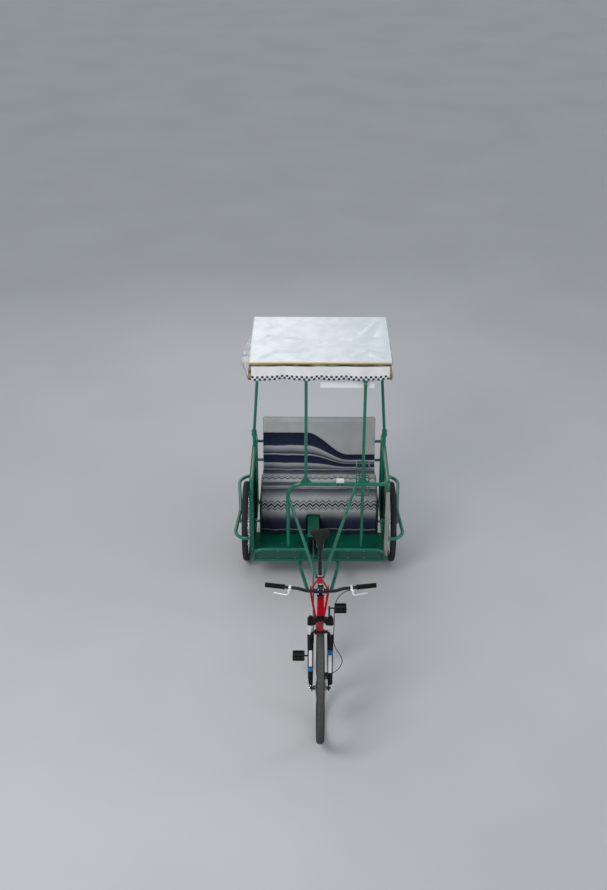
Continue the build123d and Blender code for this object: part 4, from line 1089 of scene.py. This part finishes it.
def addPrism(bm, outline, away):
    lows = [bm.verts.new(point) for point in outline]
    highs = [bm.verts.new(point + away) for point in outline]
    bm.faces.new(lows)
    bm.faces.new(list(reversed(highs)))
    for number in range(len(lows)):
        after = (number + 1) % len(lows)
        bm.faces.new((lows[number], highs[number], highs[after], lows[after]))


def addBead(bm, points, middle, radius):
    # a rippled weld along a closed line of points
    rings = []
    count = len(points)
    for number, point in enumerate(points):
        tangent = (points[(number + 1) % count] - points[number - 1]).normalized()
        outward = (point - middle).normalized()
        outward = (outward - tangent * outward.dot(tangent)).normalized()
        side = tangent.cross(outward)
        size = radius * (1 + 0.22 * math.sin(number * 2.1) + 0.12 * noise.noise(point * 90))
        angles = [math.pi / 3 * turn for turn in range(6)]
        ring = [point + (outward * math.cos(angle) + side * math.sin(angle)) * size for angle in angles]
        rings.append([bm.verts.new(place) for place in ring])
    for here, after in zip(rings, rings[1:] + rings[:1]):
        for turn in range(6):
            bm.faces.new((here[turn], here[turn - 1], after[turn - 1], after[turn]))


def weldTubes(bm, place, along, outer, direction, inner, bead=0.0022, steps=30):
    # the line where a tube of radius inner, leaving place along direction, meets the tube of radius outer
    place, along, direction = Vector(place), Vector(along).normalized(), Vector(direction).normalized()
    first = direction.orthogonal().normalized()
    second = direction.cross(first)
    flat = direction - along * along.dot(direction)
    points = []
    for number in range(steps):
        turn = 2 * math.pi * number / steps
        rim = (first * math.cos(turn) + second * math.sin(turn)) * inner
        rimFlat = rim - along * along.dot(rim)
        a, b, c = flat.dot(flat), flat.dot(rimFlat), rimFlat.dot(rimFlat) - outer ** 2
        reach = (-b + math.sqrt(max(0.0, b * b - a * c))) / a
        points.append(place + direction * reach + rim)
    addBead(bm, points, sum(points, Vector()) / steps - direction * inner * 0.6, bead)


def weldFoot(bm, place, direction, inner, bead=0.0024, steps=28):
    # the ring where a tube stands square on a plate
    matrix = facing(place, direction)
    angles = [2 * math.pi * number / steps for number in range(steps)]
    points = [matrix @ Vector((inner * math.cos(a), inner * math.sin(a), 0)) for a in angles]
    addBead(bm, points, Vector(place) - Vector(direction).normalized() * inner * 0.6, bead)


def tubePiece(name, routes, radius, finish, replaces=()):
    curve = bpy.data.curves.new(name, "CURVE")
    curve.dimensions = "3D"
    curve.bevel_depth, curve.bevel_resolution, curve.resolution_u = radius, 3, 8
    curve.use_fill_caps = True
    for route in routes:
        spline = curve.splines.new("NURBS")
        spline.points.add(len(route) - 1)
        for point, place in zip(spline.points, route):
            point.co = (*place, 1)
        spline.order_u = 3
        spline.use_endpoint_u = True
    holder = placed(name + "Line", curve)
    dg = bpy.context.evaluated_depsgraph_get()
    shape = bpy.data.meshes.new_from_object(holder.evaluated_get(dg))
    bm = bmesh.new()
    bm.from_mesh(shape)
    bpy.data.objects.remove(holder)
    bpy.data.curves.remove(curve)
    bpy.data.meshes.remove(shape)
    bmesh.ops.remove_doubles(bm, verts=bm.verts, dist=0.00001)
    addPiece(name, bm, "cab", finish, replaces, sharp=50)


# Saddle, seat post and their fittings

seatSlope = math.radians(73)
seatTubeWay = Vector((-math.cos(seatSlope), 0, math.sin(seatSlope)))
saddle = {
    "clampX": 0.25368, "railZ": 0.937, "railSide": 0.022,
    "postRadius": 0.0136, "postFoot": 0.315, "postTop": 0.930, "tubeTop": 0.430,
    "waist": 0.966,                   # height of the widest line
    "groove": (0.0035, 0.007),        # depth and half width
    # x, half width, top, bottom
    "stations": (
        (0.1322, 0.040, 0.972, 0.963), (0.1360, 0.056, 0.978, 0.957), (0.1480, 0.068, 0.983, 0.952),
        (0.1700, 0.0718, 0.9850, 0.949), (0.1950, 0.066, 0.9840, 0.949), (0.2200, 0.054, 0.9820, 0.949),
        (0.2480, 0.0370, 0.9800, 0.949), (0.2760, 0.0275, 0.9785, 0.950), (0.3150, 0.0235, 0.9775, 0.951),
        (0.3500, 0.0215, 0.9770, 0.953), (0.3800, 0.0192, 0.9755, 0.955), (0.3940, 0.0150, 0.9730, 0.958),
        (0.4005, 0.0070, 0.9690, 0.962),
    ),
    "collar": [(0.0161, 0), (0.0186, 0.0010), (0.0190, 0.0060), (0.0186, 0.0110), (0.0137, 0.0120)],
    "collarDown": 0.012,
    "ear": (-0.0205, 0, 0.006), "earSize": (0.009, 0.012, 0.010), "earBolt": (0.0032, 0.003),
    # the rails' clamp: height from the rails and size of each jaw, then its two bolts
    "jaws": ((-0.0055, (0.044, 0.056, 0.009)), (0.0050, (0.038, 0.054, 0.007))), "jawEdge": 0.0025,
    "boltAlong": 0.013, "boltTop": 0.008, "boltFoot": 0.018, "boltHead": (0.0045, 0.003), "boltRadius": 0.0025,
}


def seatTubePoint(along):
    return crankHub + seatTubeWay * along


def makeSaddle():
    bm = bmesh.new()
    loftRings(bm, [
        Matrix(((0, 0, 1, x), (half, 0, 0, 0), (0, (top - bottom) / 2, 0, (top + bottom) / 2), (0, 0, 0, 1)))
        for x, half, top, bottom in saddle["stations"]
    ], segments=36)
    waist, (deep, wide) = saddle["waist"], saddle["groove"]
    for v in bm.verts:
        if v.co.z < waist:
            v.co.z = waist - (waist - v.co.z) * 0.85
        else:
            v.co.z -= deep * math.exp(-(v.co.y / wide) ** 2) * min(1.0, max(0.0, (v.co.x - 0.14) / 0.03))
    pad = addPiece("saddlePad", bm, "cab", "saddleVinyl", ("saddle",), sharp=60)
    finer = pad.modifiers.new("finer", "SUBSURF")
    finer.levels = finer.render_levels = 1
    clampX, railZ, side = saddle["clampX"], saddle["railZ"], saddle["railSide"]
    # rails: distance ahead of the clamp, side and height
    railRoute = [(-0.090, side, 0.951), (-0.068, side, 0.948)]
    railRoute += [(x, side, railZ) for x in (-0.055, -0.030, 0.030, 0.055)]
    railRoute += [(0.080, 0.016, 0.947), (0.105, 0.012, 0.953)]
    routes = [[(clampX + x, way * y, z) for x, y, z in railRoute] for way in (-1, 1)]
    tubePiece("saddleRails", routes, 0.0036, "steel", ("saddle",))
    bm = bmesh.new()
    top = seatTubePoint((saddle["postTop"] - crankHub.z) / math.sin(seatSlope))
    addRod(bm, seatTubePoint(saddle["postFoot"]), top, saddle["postRadius"], 32)
    for up, size in saddle["jaws"]:
        addBox(bm, (clampX, 0, railZ + up), size, saddle["jawEdge"])
    addPiece("seatPost", bm, "cab", "blackAlloy", ("saddle",), sharp=35)
    bm = bmesh.new()
    for x in (clampX - saddle["boltAlong"], clampX + saddle["boltAlong"]):
        boltTop = (x, 0, railZ + saddle["boltTop"])
        addBolt(bm, boltTop, upZ, *saddle["boltHead"])
        addRod(bm, (x, 0, railZ - saddle["boltFoot"]), boltTop, saddle["boltRadius"], 10)
    collar = facing(seatTubePoint(saddle["tubeTop"] - saddle["collarDown"]), seatTubeWay)
    turnProfile(bm, saddle["collar"], collar, 40)
    ear = collar @ Matrix.Translation(saddle["ear"])
    addBox(bm, (0, 0, 0), saddle["earSize"], 0.001, matrix=ear)
    addSocketBolt(bm, ear @ Vector((0, saddle["earSize"][1] / 2, 0)), acrossY, *saddle["earBolt"])
    addPiece("seatClamp", bm, "cab", "alloy", sharp=35)


makeSaddle()

# Head, fork and bar fittings. Sections are (radius, height along the steering axis)

head = {
    "cups": ((0.4804, 0.4890), (0.6180, 0.6268)), "cupBore": 0.0231, "cupRim": 0.0258, "cupBelly": 0.0266,
    "spacer": [(0.0150, 0.6274), (0.0236, 0.6276), (0.0240, 0.6292),
               (0.0205, 0.6300), (0.0205, 0.6336), (0.0150, 0.6338)],
    "seal": [(0.0163, 0.3545), (0.0226, 0.3545), (0.0228, 0.3580),
             (0.0210, 0.3625), (0.0180, 0.3650), (0.0163, 0.3652)],
    "knob": [(0.0130, 0.4822), (0.0130, 0.4880), (0.0115, 0.4905), (0.0040, 0.4910)],
    "cap": [(0.0172, 0.6982), (0.0168, 0.7000), (0.0060, 0.7006), (0.0055, 0.6990)],
    "legAhead": 0.028, "legSide": 0.065, "bar": 0.672, "reach": 0.070, "clampRadius": 0.022,
    # the stem's bolts: places, then radius and height
    "capTop": 0.6985, "capBolt": (0.0050, 0.0045),
    "faceSide": 0.0165, "faceUp": 0.0150, "faceBolt": (0.0042, 0.0060),
    "pinchAhead": -0.0185, "pinchSide": 0.0085, "pinchUp": (0.645, 0.680), "pinchBolt": (0.0042, 0.0105),
}


def makeHead():
    axis = steerMatrix(0, 0, 0)
    bore, rim = head["cupBore"], head["cupRim"]
    bm = bmesh.new()
    for low, high in head["cups"]:
        belly = (head["cupBelly"], (low + high) / 2)
        turnProfile(bm, [(bore, low), (rim, low + 0.001), belly, (rim, high - 0.001), (bore, high)], axis, 56)
    addPiece("headsetCups", bm, "cab", "blackAlloy", sharp=40)
    bm = bmesh.new()
    turnProfile(bm, head["spacer"], axis, 56)
    for way in (-1, 1):
        leg = steerMatrix(head["legAhead"], way * head["legSide"], 0)
        turnProfile(bm, head["seal"], leg, 48)
        turnProfile(bm, head["knob"], leg, 24, closed=False)
    closeHoles(bm)
    addPiece("forkSeals", bm, "steering", "blackPlastic", sharp=40)
    bm = bmesh.new()
    turnProfile(bm, head["cap"], axis, 40, closed=False)
    closeHoles(bm)
    addSocketBolt(bm, steerPoint(0, 0, head["capTop"]), steerUp, *head["capBolt"])
    for side in (-head["faceSide"], head["faceSide"]):
        for up in (-head["faceUp"], head["faceUp"]):
            lift = math.sqrt(head["clampRadius"] ** 2 - up ** 2) * 0.94
            place = steerPoint(head["reach"] + lift, side, head["bar"] + up)
            addSocketBolt(bm, place, steerAhead, *head["faceBolt"])
    for up in head["pinchUp"]:
        place = steerPoint(head["pinchAhead"], head["pinchSide"], up)
        addSocketBolt(bm, place, acrossY, *head["pinchBolt"])
    addPiece("stemBolts", bm, "steering", "chromed", sharp=35)


# grip section: (radius, distance from the bar's end), with ribs between its two collars
grip = {
    "outer": [(0.0113, -0.0038), (0.0160, -0.0038), (0.0165, -0.0020), (0.0165, 0.0040), (0.0152, 0.0060)],
    "inner": [(0.0165, 0.1175), (0.0186, 0.1190), (0.0186, 0.1225), (0.0160, 0.1260), (0.0113, 0.1260)],
    "rib": ((0.0152, 0.0), (0.0163, 0.0012), (0.0164, 0.0046), (0.0152, 0.0062)),
    "ribs": 13, "first": 0.0085, "pitch": 0.0082,
    "end": Vector((-0.044, 0.360, 0.016)), "before": Vector((-0.006, 0.150, 0.016)),    # from the bar's middle
}


def makeGrips():
    end = steerPoint(head["reach"], 0, head["bar"]) + grip["end"]
    inward = (grip["before"] - grip["end"]).normalized()
    starts = [grip["first"] + number * grip["pitch"] for number in range(grip["ribs"])]
    ribs = [(radius, start + along) for start in starts for radius, along in grip["rib"]]
    bm = bmesh.new()
    for flip in (Matrix(), Matrix.Diagonal((1, -1, 1, 1))):
        turnProfile(bm, grip["outer"] + ribs + grip["inner"], facing(flip @ end, flip @ inward), 40)
    addPiece("ribbedGrips", bm, "steering", "rubber", ("grips",), sharp=30)


release = {
    "nut": 0.0682, "root": 0.0720, "way": Vector((-0.35, 0, 0.94)).normalized(),
    "cup": [(0.0092, 0), (0.0096, 0.0020), (0.0080, 0.0062), (0.0045, 0.0076)],
    # lever: distance along it, half width, half thickness, distance out
    "lever": (
        (-0.006, 0.0050, 0.0030, 0.000), (0.004, 0.0075, 0.0042, 0.000), (0.014, 0.0062, 0.0034, 0.001),
        (0.030, 0.0055, 0.0026, 0.004), (0.046, 0.0065, 0.0024, 0.007), (0.056, 0.0052, 0.0020, 0.008),
        (0.060, 0.0020, 0.0010, 0.008),
    ),
}


def makeQuickRelease():
    bm = bmesh.new()
    for way in (-1, 1):
        axis = facing(frontHub + acrossY * way * release["nut"], acrossY * way)
        turnProfile(bm, release["cup"], axis, 28, closed=False)
    closeHoles(bm)
    along = release["way"]
    across = along.cross(acrossY)
    stations = []
    for distance, wide, thick, out in release["lever"]:
        place = frontHub - acrossY * (release["root"] + out) + along * distance
        turn = Matrix((across * wide, acrossY * thick, along)).transposed().to_4x4()
        stations.append(Matrix.Translation(place) @ turn)
    loftRings(bm, stations, segments=20)
    addPiece("quickRelease", bm, "steering", "chromed", sharp=60)


makeHead()
makeGrips()
makeQuickRelease()
print("bicycle fittings made")

# Chain of inner and outer links on rollers

chain = {
    "line": -0.045, "pitch": 0.0127, "bigTeeth": 38, "smallTeeth": 20, "half": 0.0041, "waist": 0.72,
    "innerPlate": (0.0017, 0.0028), "outerPlate": (0.0029, 0.0040),
    "pin": (0.0048, 0.0018, 8), "roller": (0.0017, 0.0034, 10),    # half length, radius, sides
}


def pitchRadius(teeth):
    return chain["pitch"] / (2 * math.sin(math.pi / teeth))


def chainPlace(along):
    # the point at a distance along the loop, and the loop's length
    big, small = pitchRadius(chain["bigTeeth"]), pitchRadius(chain["smallTeeth"])
    span = rearHub - crankHub
    reach = span.length
    wrap = math.acos((big - small) / reach)
    straight = math.sqrt(reach ** 2 - (big - small) ** 2)
    wrapBig, wrapSmall = big * 2 * (math.pi - wrap), small * 2 * wrap
    total = 2 * straight + wrapBig + wrapSmall
    along %= total
    if along < straight:
        x = big * math.cos(wrap) + math.sin(wrap) * along
        y = big * math.sin(wrap) - math.cos(wrap) * along
    elif along < straight + wrapSmall:
        heading = wrap - math.pi / 2 - (along - straight) / small
        x, y = reach - math.sin(heading) * small, math.cos(heading) * small
    elif along < 2 * straight + wrapSmall:
        heading = -wrap - math.pi / 2
        rest = along - straight - wrapSmall
        x = reach + small * math.cos(wrap) + math.cos(heading) * rest
        y = -small * math.sin(wrap) + math.sin(heading) * rest
    else:
        heading = -wrap - math.pi / 2 - (along - 2 * straight - wrapSmall) / big
        x, y = -math.sin(heading) * big, math.cos(heading) * big
    flat = Matrix.Rotation(math.atan2(span.z, span.x), 2) @ Vector((x, y))
    return Vector((crankHub.x + flat.x, chain["line"], crankHub.z + flat.y)), total


def makeChain():
    total = chainPlace(0)[1]
    count = 2 * round(total / chain["pitch"] / 2)
    step, half = total / count, chain["half"]
    bm = bmesh.new()
    for number in range(count):
        start, end = chainPlace(number * step)[0], chainPlace((number + 1) * step)[0]
        forward = (end - start).normalized()
        upward = forward.cross(acrossY)
        outline = []
        # round ends of the plate, each followed by a point of its waist
        for place, way in ((start, -1), (end, 1)):
            for turn in range(5):
                angle = math.pi / 2 - math.pi / 4 * turn
                outline.append(place + (forward * math.cos(angle) + upward * math.sin(angle)) * way * half)
            outline.append((start + end) / 2 - upward * way * half * chain["waist"])
        near, far = chain["outerPlate"] if number % 2 else chain["innerPlate"]
        for side in (-acrossY, acrossY):
            addPrism(bm, [point + side * near for point in outline], side * (far - near))
        for long, radius, sides in (chain["pin"], chain["roller"]):
            addRod(bm, start - acrossY * long, start + acrossY * long, radius, sides)
    addPiece("rollerChain", bm, "cab", "chainSteel", ("chain",), sharp=40)


# fittings of the cranks and pedals; each bolt is its radius and height
cranks = {
    "ringRound": 0.047, "ringSide": -0.0465, "ringBolt": (0.0048, 0.0032),
    "armSide": 0.0758, "armBolt": (0.0100, 0.0030),
    "pinIn": 0.005, "pinAlong": (0.2, 0.5, 0.8), "pinDeep": 0.002, "pinHigh": 0.0030, "pinRadius": 0.0016,
    "pedalBolt": (0.0075, 0.0040), "pedalSunk": 0.001,
}


def makeCrankFittings():
    around = cranks["ringRound"]
    bm = bmesh.new()
    for number in range(5):
        angle = math.radians(36 + 72 * number)
        place = crankHub + Vector((math.cos(angle) * around, cranks["ringSide"], math.sin(angle) * around))
        addSocketBolt(bm, place, -acrossY, *cranks["ringBolt"])
    for side in (-acrossY, acrossY):
        addSocketBolt(bm, crankHub + side * cranks["armSide"], side, *cranks["armBolt"])
    addPiece("crankBolts", bm, "crank", "steel", sharp=35)
    for way, side in ((-1, "right"), (1, "left")):
        low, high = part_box("pedal_" + side)
        bm = bmesh.new()
        for x in (low.x + cranks["pinIn"], high.x - cranks["pinIn"]):
            for share in cranks["pinAlong"]:
                for z, up in ((high.z, 1), (low.z, -1)):
                    face = Vector((x, low.y + (high.y - low.y) * share, z))
                    foot, top = face - upZ * up * cranks["pinDeep"], face + upZ * up * cranks["pinHigh"]
                    addRod(bm, foot, top, cranks["pinRadius"], 8)
        ends = Vector(((low.x + high.x) / 2, high.y if way > 0 else low.y, (low.z + high.z) / 2))
        addBolt(bm, ends - acrossY * way * cranks["pedalSunk"], acrossY * way, *cranks["pedalBolt"])
        addPiece("pedal" + side + "Pins", bm, side + "_pedal", "steel", sharp=35)


makeChain()
makeCrankFittings()
print("chain and cranks made")

# Welds and fasteners of the cab

cab = {
    "side": 0.530, "sidePost": postX - 0.595, "rearPost": postX - 0.825, "panelFace": 0.5476,
    "frontPosts": (-0.105, 0.335), "cornerPost": 0.335, "floorPost": -0.245,
    "braces": ((0.285, 0.890), (-0.245, 0.785)),            # side and height of their upper ends
    "roofSide": 0.468, "roofZ": 1.934, "roofTube": 0.011, "postRadius": 0.012,
    "deck": 0.2335, "frameTop": 0.2305, "crossBars": (0.635, 0.815),
    "braceRadius": 0.011, "upright": 0.0109, "uprightUp": (1.02, 1.9227),
    "sleeve": ((0.990, 0.0150), (1.050, 0.0125)),           # height and radius of its ends
    "guard": 0.014, "guardRear": 0.480, "guardFront": 0.385, "guardOut": 0.148, "guardFall": 0.015,
}
# the bike's joints, along the head tube or the seat tube, and its tubes' radii at each end
bike = {
    "topJoint": 0.597, "downJoint": 0.535, "seatJoint": 0.395, "braceJoint": 0.410, "braceSide": 0.024,
    "headTube": 0.0230, "topTube": (0.0170, 0.0165), "downTube": (0.0228, 0.0205),
    "seatTube": (0.0165, 0.0160), "crankShell": 0.0210,
}


def weldCab(bm):
    side, sidePost, rearPost = cab["side"], cab["sidePost"], cab["rearPost"]
    roofZ, roofTube, post, upright = cab["roofZ"], cab["roofTube"], cab["postRadius"], cab["upright"]
    for y in cab["frontPosts"]:
        weldTubes(bm, (postX, y, railHeight), acrossY, tubeRadius, upZ, post)
        weldTubes(bm, (postX, y, roofZ), acrossY, roofTube, -upZ, upright)
    weldTubes(bm, (postX, cab["cornerPost"], railHeight), acrossY, tubeRadius, -upZ, post)
    weldFoot(bm, (postX, cab["cornerPost"], cab["deck"]), upZ, post)
    weldFoot(bm, (postX, cab["floorPost"], cab["deck"]), upZ, tubeRadius)
    for x, z in ((postX, cab["deck"]), (sidePost, cab["frameTop"]), (rearPost, cab["frameTop"])):
        for y in (-side, side):
            weldFoot(bm, (x, y, z), upZ, tubeRadius)
    joint = seatTubePoint(bike["braceJoint"])
    for y, z in cab["braces"]:
        foot, top = joint + acrossY * math.copysign(bike["braceSide"], y), Vector((postX, y, z))
        weldTubes(bm, top, upZ if y < 0 else acrossY, tubeRadius, foot - top, cab["braceRadius"])
    uprightFoot, uprightTop = cab["uprightUp"]
    for way in (-1, 1):
        out = acrossY * way
        rear = Vector((rearPost, way * side, 0))
        roof = Vector((sidePost, way * cab["roofSide"], roofZ))
        for z in cab["crossBars"]:
            weldTubes(bm, rear + upZ * z, upZ, tubeRadius, -out, post)
        guardWay = out * cab["guardOut"] - upZ * cab["guardFall"]
        weldTubes(bm, rear + upZ * cab["guardRear"], upZ, 0.0153, guardWay, cab["guard"])
        weldFoot(bm, (postX + 0.002, way * cab["panelFace"], cab["guardFront"]), out, cab["guard"])
        foot, top = Vector((sidePost, way * side, uprightFoot)), Vector((sidePost, roof.y, uprightTop))
        weldTubes(bm, roof, aheadX, roofTube, foot - top, upright)
        weldTubes(bm, roof, aheadX, roofTube, -out, 0.0098, 0.0016)
        for z, radius in cab["sleeve"]:
            weldFoot(bm, (sidePost, way * side, z), upZ, radius)


def makeWelds():
    bm = bmesh.new()
    weldCab(bm)
    addPiece("cabWelds", bm, "cab", "greenPaint", sharp=60)
    bm = bmesh.new()
    topJoint, downJoint = (steerPoint(0, 0, bike[name]) for name in ("topJoint", "downJoint"))
    seatJoint = seatTubePoint(bike["seatJoint"])
    headTube, shell, (seatTop, seatFoot) = bike["headTube"], bike["crankShell"], bike["seatTube"]
    (topFront, topRear), (downTop, downFoot) = bike["topTube"], bike["downTube"]
    weldTubes(bm, topJoint, steerUp, headTube, seatJoint - topJoint, topFront)
    weldTubes(bm, downJoint, steerUp, headTube, crankHub - downJoint, downTop)
    weldTubes(bm, seatJoint, seatTubeWay, seatTop, topJoint - seatJoint, topRear)
    weldTubes(bm, crankHub, acrossY, shell, seatTubeWay, seatFoot)
    weldTubes(bm, crankHub, acrossY, shell, downJoint - crankHub, downFoot)
    addPiece("bikeWelds", bm, "cab", "redPaint", sharp=60)


rivets = {
    "panel": 0.0042, "floor": 0.0045, "toe": 0.0036, "toeFace": -0.5963, "lugFace": -0.6111, "lugSide": 0.527,
    "panelUp": (0.27, 0.38, 0.49, 0.60, 0.71, 0.81), "panelEnds": (0.884, 0.226),
    "panelAlong": (-0.75, -0.87, -0.99, -1.11), "lugUp": (0.30, 0.45, 0.60, 0.75),
    "floorAlong": (-0.625, -0.78, -0.915), "floorAcross": (-0.50, -0.30, 0.18, 0.50), "floorTop": 0.233,
    "toeAcross": (-0.47, -0.33, -0.19, 0.10, 0.23, 0.36, 0.48), "toeUp": (0.222, 0.284),
}


def makeRivets():
    bm = bmesh.new()
    for way in (-1, 1):
        face = way * (cab["panelFace"] - 0.0002)
        places = [(x, z) for z in rivets["panelUp"] for x in (postX, cab["sidePost"] + 0.010)]
        places.remove((postX, 0.38))          # the wheel guard's foot is there
        places += [(x, z) for x in rivets["panelAlong"] for z in rivets["panelEnds"]]
        for x, z in places:
            addRivet(bm, (x, face, z), acrossY * way, rivets["panel"])
        for z in rivets["lugUp"]:
            addRivet(bm, (rivets["lugFace"], way * rivets["lugSide"], z), aheadX, rivets["panel"])
    for x in rivets["floorAlong"]:
        for y in rivets["floorAcross"]:
            if not (x > -0.65 and abs(y) == 0.30):
                addRivet(bm, (x, y, rivets["floorTop"]), upZ, rivets["floor"])
    for y in rivets["toeAcross"]:
        for z in rivets["toeUp"]:
            addRivet(bm, (rivets["toeFace"], y, z), aheadX, rivets["toe"])
    addPiece("panelRivets", bm, "cab", "steel", sharp=50)


bolts = {
    "guardFace": wheelSide + 0.053, "guard": ((-0.013, 0.400), (0.013, 0.400), (0.0, 0.372)),
    "frame": [(x, y) for x in (-0.020, 0.020) for y in (0.013, -0.013)], "frameFace": 0.2302,
    "sleeve": (1.032, 1.006), "sleeveOut": 0.0195,
    "guardBolt": (0.0062, 0.0048), "frameBolt": (0.0050, 0.0040), "sleeveBolt": (0.0060, 0.0050),
    "axleEnd": 0.658, "axleCap": [(0.0150, -0.001), (0.0152, 0.0015), (0.0115, 0.0050), (0.0050, 0.0064)],
}


def makeBolts():
    bm = bmesh.new()
    for way in (-1, 1):
        out = acrossY * way
        for x, z in bolts["guard"]:
            addBolt(bm, (rearHub.x + x, way * bolts["guardFace"], z), out, *bolts["guardBolt"])
        for x, y in bolts["frame"]:
            place = (rearHub.x + x, way * (cab["side"] + y), bolts["frameFace"])
            addBolt(bm, place, upZ, *bolts["frameBolt"])
        for z in bolts["sleeve"]:
            place = (cab["sidePost"], way * (cab["side"] + bolts["sleeveOut"]), z)
            addBolt(bm, place, out, *bolts["sleeveBolt"])
    addPiece("cabBolts", bm, "cab", "steel", sharp=35)
    bm = bmesh.new()
    for way in (-1, 1):
        axis = facing(rearHub + acrossY * way * bolts["axleEnd"], acrossY * way)
        turnProfile(bm, bolts["axleCap"], axis, 32, closed=False)
    closeHoles(bm)
    addPiece("axleCaps", bm, "drive_axle", "chromed", sharp=50)


straps = {
    "down": 0.030, "up": 0.045,               # from the sign's top and foot to its ties
    "tie": (0.0122, 0.0140), "tieRods": (0.320, 0.350), "tieRod": 0.0024, "tieNut": (0.0040, 0.0030),
    "wireSide": 0.045, "wire": 0.0012,
    "lampBand": (0.0152, 0.0164), "lampIn": 0.014, "lampFront": (0.0030, 0.050, 0.020),
    "ribs": (-0.016, -0.008, 0.0, 0.008, 0.016), "rib": (0.0016, 0.0022, 0.016), "ribOut": 0.0012,
}


def addBand(bm, place, direction, inner, outer, steps):
    turnProfile(bm, [(inner, 0), (outer, 0), (outer, 0.008), (inner, 0.008)], facing(place, direction), steps)


def makeStraps():
    # ties of the sign board, bands of the lamp, and the lamp's clear front
    low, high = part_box("sign_board")
    bm = bmesh.new()
    for z in (high.z - straps["down"], low.z + straps["up"]):
        addBand(bm, (postX, cab["cornerPost"], z - 0.004), upZ, *straps["tie"], 32)
        for y in straps["tieRods"]:
            addRod(bm, (low.x - 0.001, y, z), (high.x + 0.006, y, z), straps["tieRod"], 10)
            addBolt(bm, (low.x, y, z), -aheadX, *straps["tieNut"])
    y = straps["wireSide"]
    wireFoot, wireTop = (high.x - 0.0025, y, high.z - 0.012), (postX - 0.003, y, cab["roofZ"] - 0.0105)
    addRod(bm, wireFoot, wireTop, straps["wire"], 8)
    addPiece("signTies", bm, "cab", "steel", sharp=40)
    low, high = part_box("rail_lamp")
    bm = bmesh.new()
    for y in (low.y + straps["lampIn"], high.y - straps["lampIn"]):
        addBand(bm, (postX, y - 0.004, railHeight), acrossY, *straps["lampBand"], 40)
    addPiece("lampBands", bm, "cab", "blackPlastic", sharp=40)
    face = Vector((high.x, (low.y + high.y) / 2, (low.z + high.z) / 2))
    bm = bmesh.new()
    addBox(bm, face, straps["lampFront"], 0.0012)
    for y in straps["ribs"]:
        addBox(bm, face + Vector((straps["ribOut"], y, 0)), straps["rib"], 0.0005)
    addPiece("lampFront", bm, "cab", "whitePlastic", sharp=35)


makeWelds()
makeRivets()
makeBolts()
makeStraps()
print("welds and fasteners made")

# Piping along the roof's edges and round the seat's pads

piping = {"radius": 0.0028, "step": 0.02, "sunk": 0.0012, "corner": 0.03, "padDown": 0.016, "backIn": 0.012}


def pipedLine(name, piece, corners):
    # a closed line of piping that follows the pad's own surface
    dg = bpy.context.evaluated_depsgraph_get()
    tree = BVHTree.FromObject(piece.evaluated_get(dg), dg)
    route = []
    for start, end in zip(corners, corners[1:] + corners[:1]):
        count = max(1, round((end - start).length / piping["step"]))
        for number in range(count):
            near, normal = tree.find_nearest(start.lerp(end, number / count))[:2]
            route.append(near + normal * (piping["radius"] - piping["sunk"]))
    tubePiece(name, [route + route[:1]], piping["radius"], "seatVinyl")


def roundCorners(corners, inset, steps=5):
    rounded = []
    for before, here, after in zip(corners[-1:] + corners[:-1], corners, corners[1:] + corners[:1]):
        first, last = here + (before - here).normalized() * inset, here + (after - here).normalized() * inset
        for number in range(steps):
            share = number / (steps - 1)
            rounded.append(first.lerp(here, share).lerp(here.lerp(last, share), share))
    return rounded


def makePiping():
    front, back, half, top = canopy["front"], canopy["back"], canopy["half"], canopy["top"]
    corners = [Vector((x, y, top)) for x, y in ((front, -half), (back, -half), (back, half), (front, half))]
    line = []
    for start, end in zip(corners, corners[1:]):
        for number in range(30):
            place = start.lerp(end, number / 30)
            line.append(place + upZ * (-0.0012 + 0.0008 * noise.noise(place * 30)))
    tubePiece("roofPiping", [line + [corners[-1]]], piping["radius"], "canopyCloth")
    low, high, z = cushionLow, cushionHigh, cushionHigh.z - piping["padDown"]
    ring = [Vector((x, y, z)) for x, y in ((low.x, low.y), (high.x, low.y), (high.x, high.y), (low.x, high.y))]
    pipedLine("seatPiping", bpy.data.objects["seatPad"], roundCorners(ring, piping["corner"]))
    tall, wide, face = seatBack["tall"], seatBack["half"], seatBack["thickness"] / 2 - piping["backIn"]
    corners = (-wide, -tall), (wide, -tall), (wide, tall), (-wide, tall)
    ring = [backPlace @ Vector((face, y, z)) for y, z in corners]
    pipedLine("backPiping", bpy.data.objects["backPad"], roundCorners(ring, piping["corner"]))


makePiping()
print("piping made")
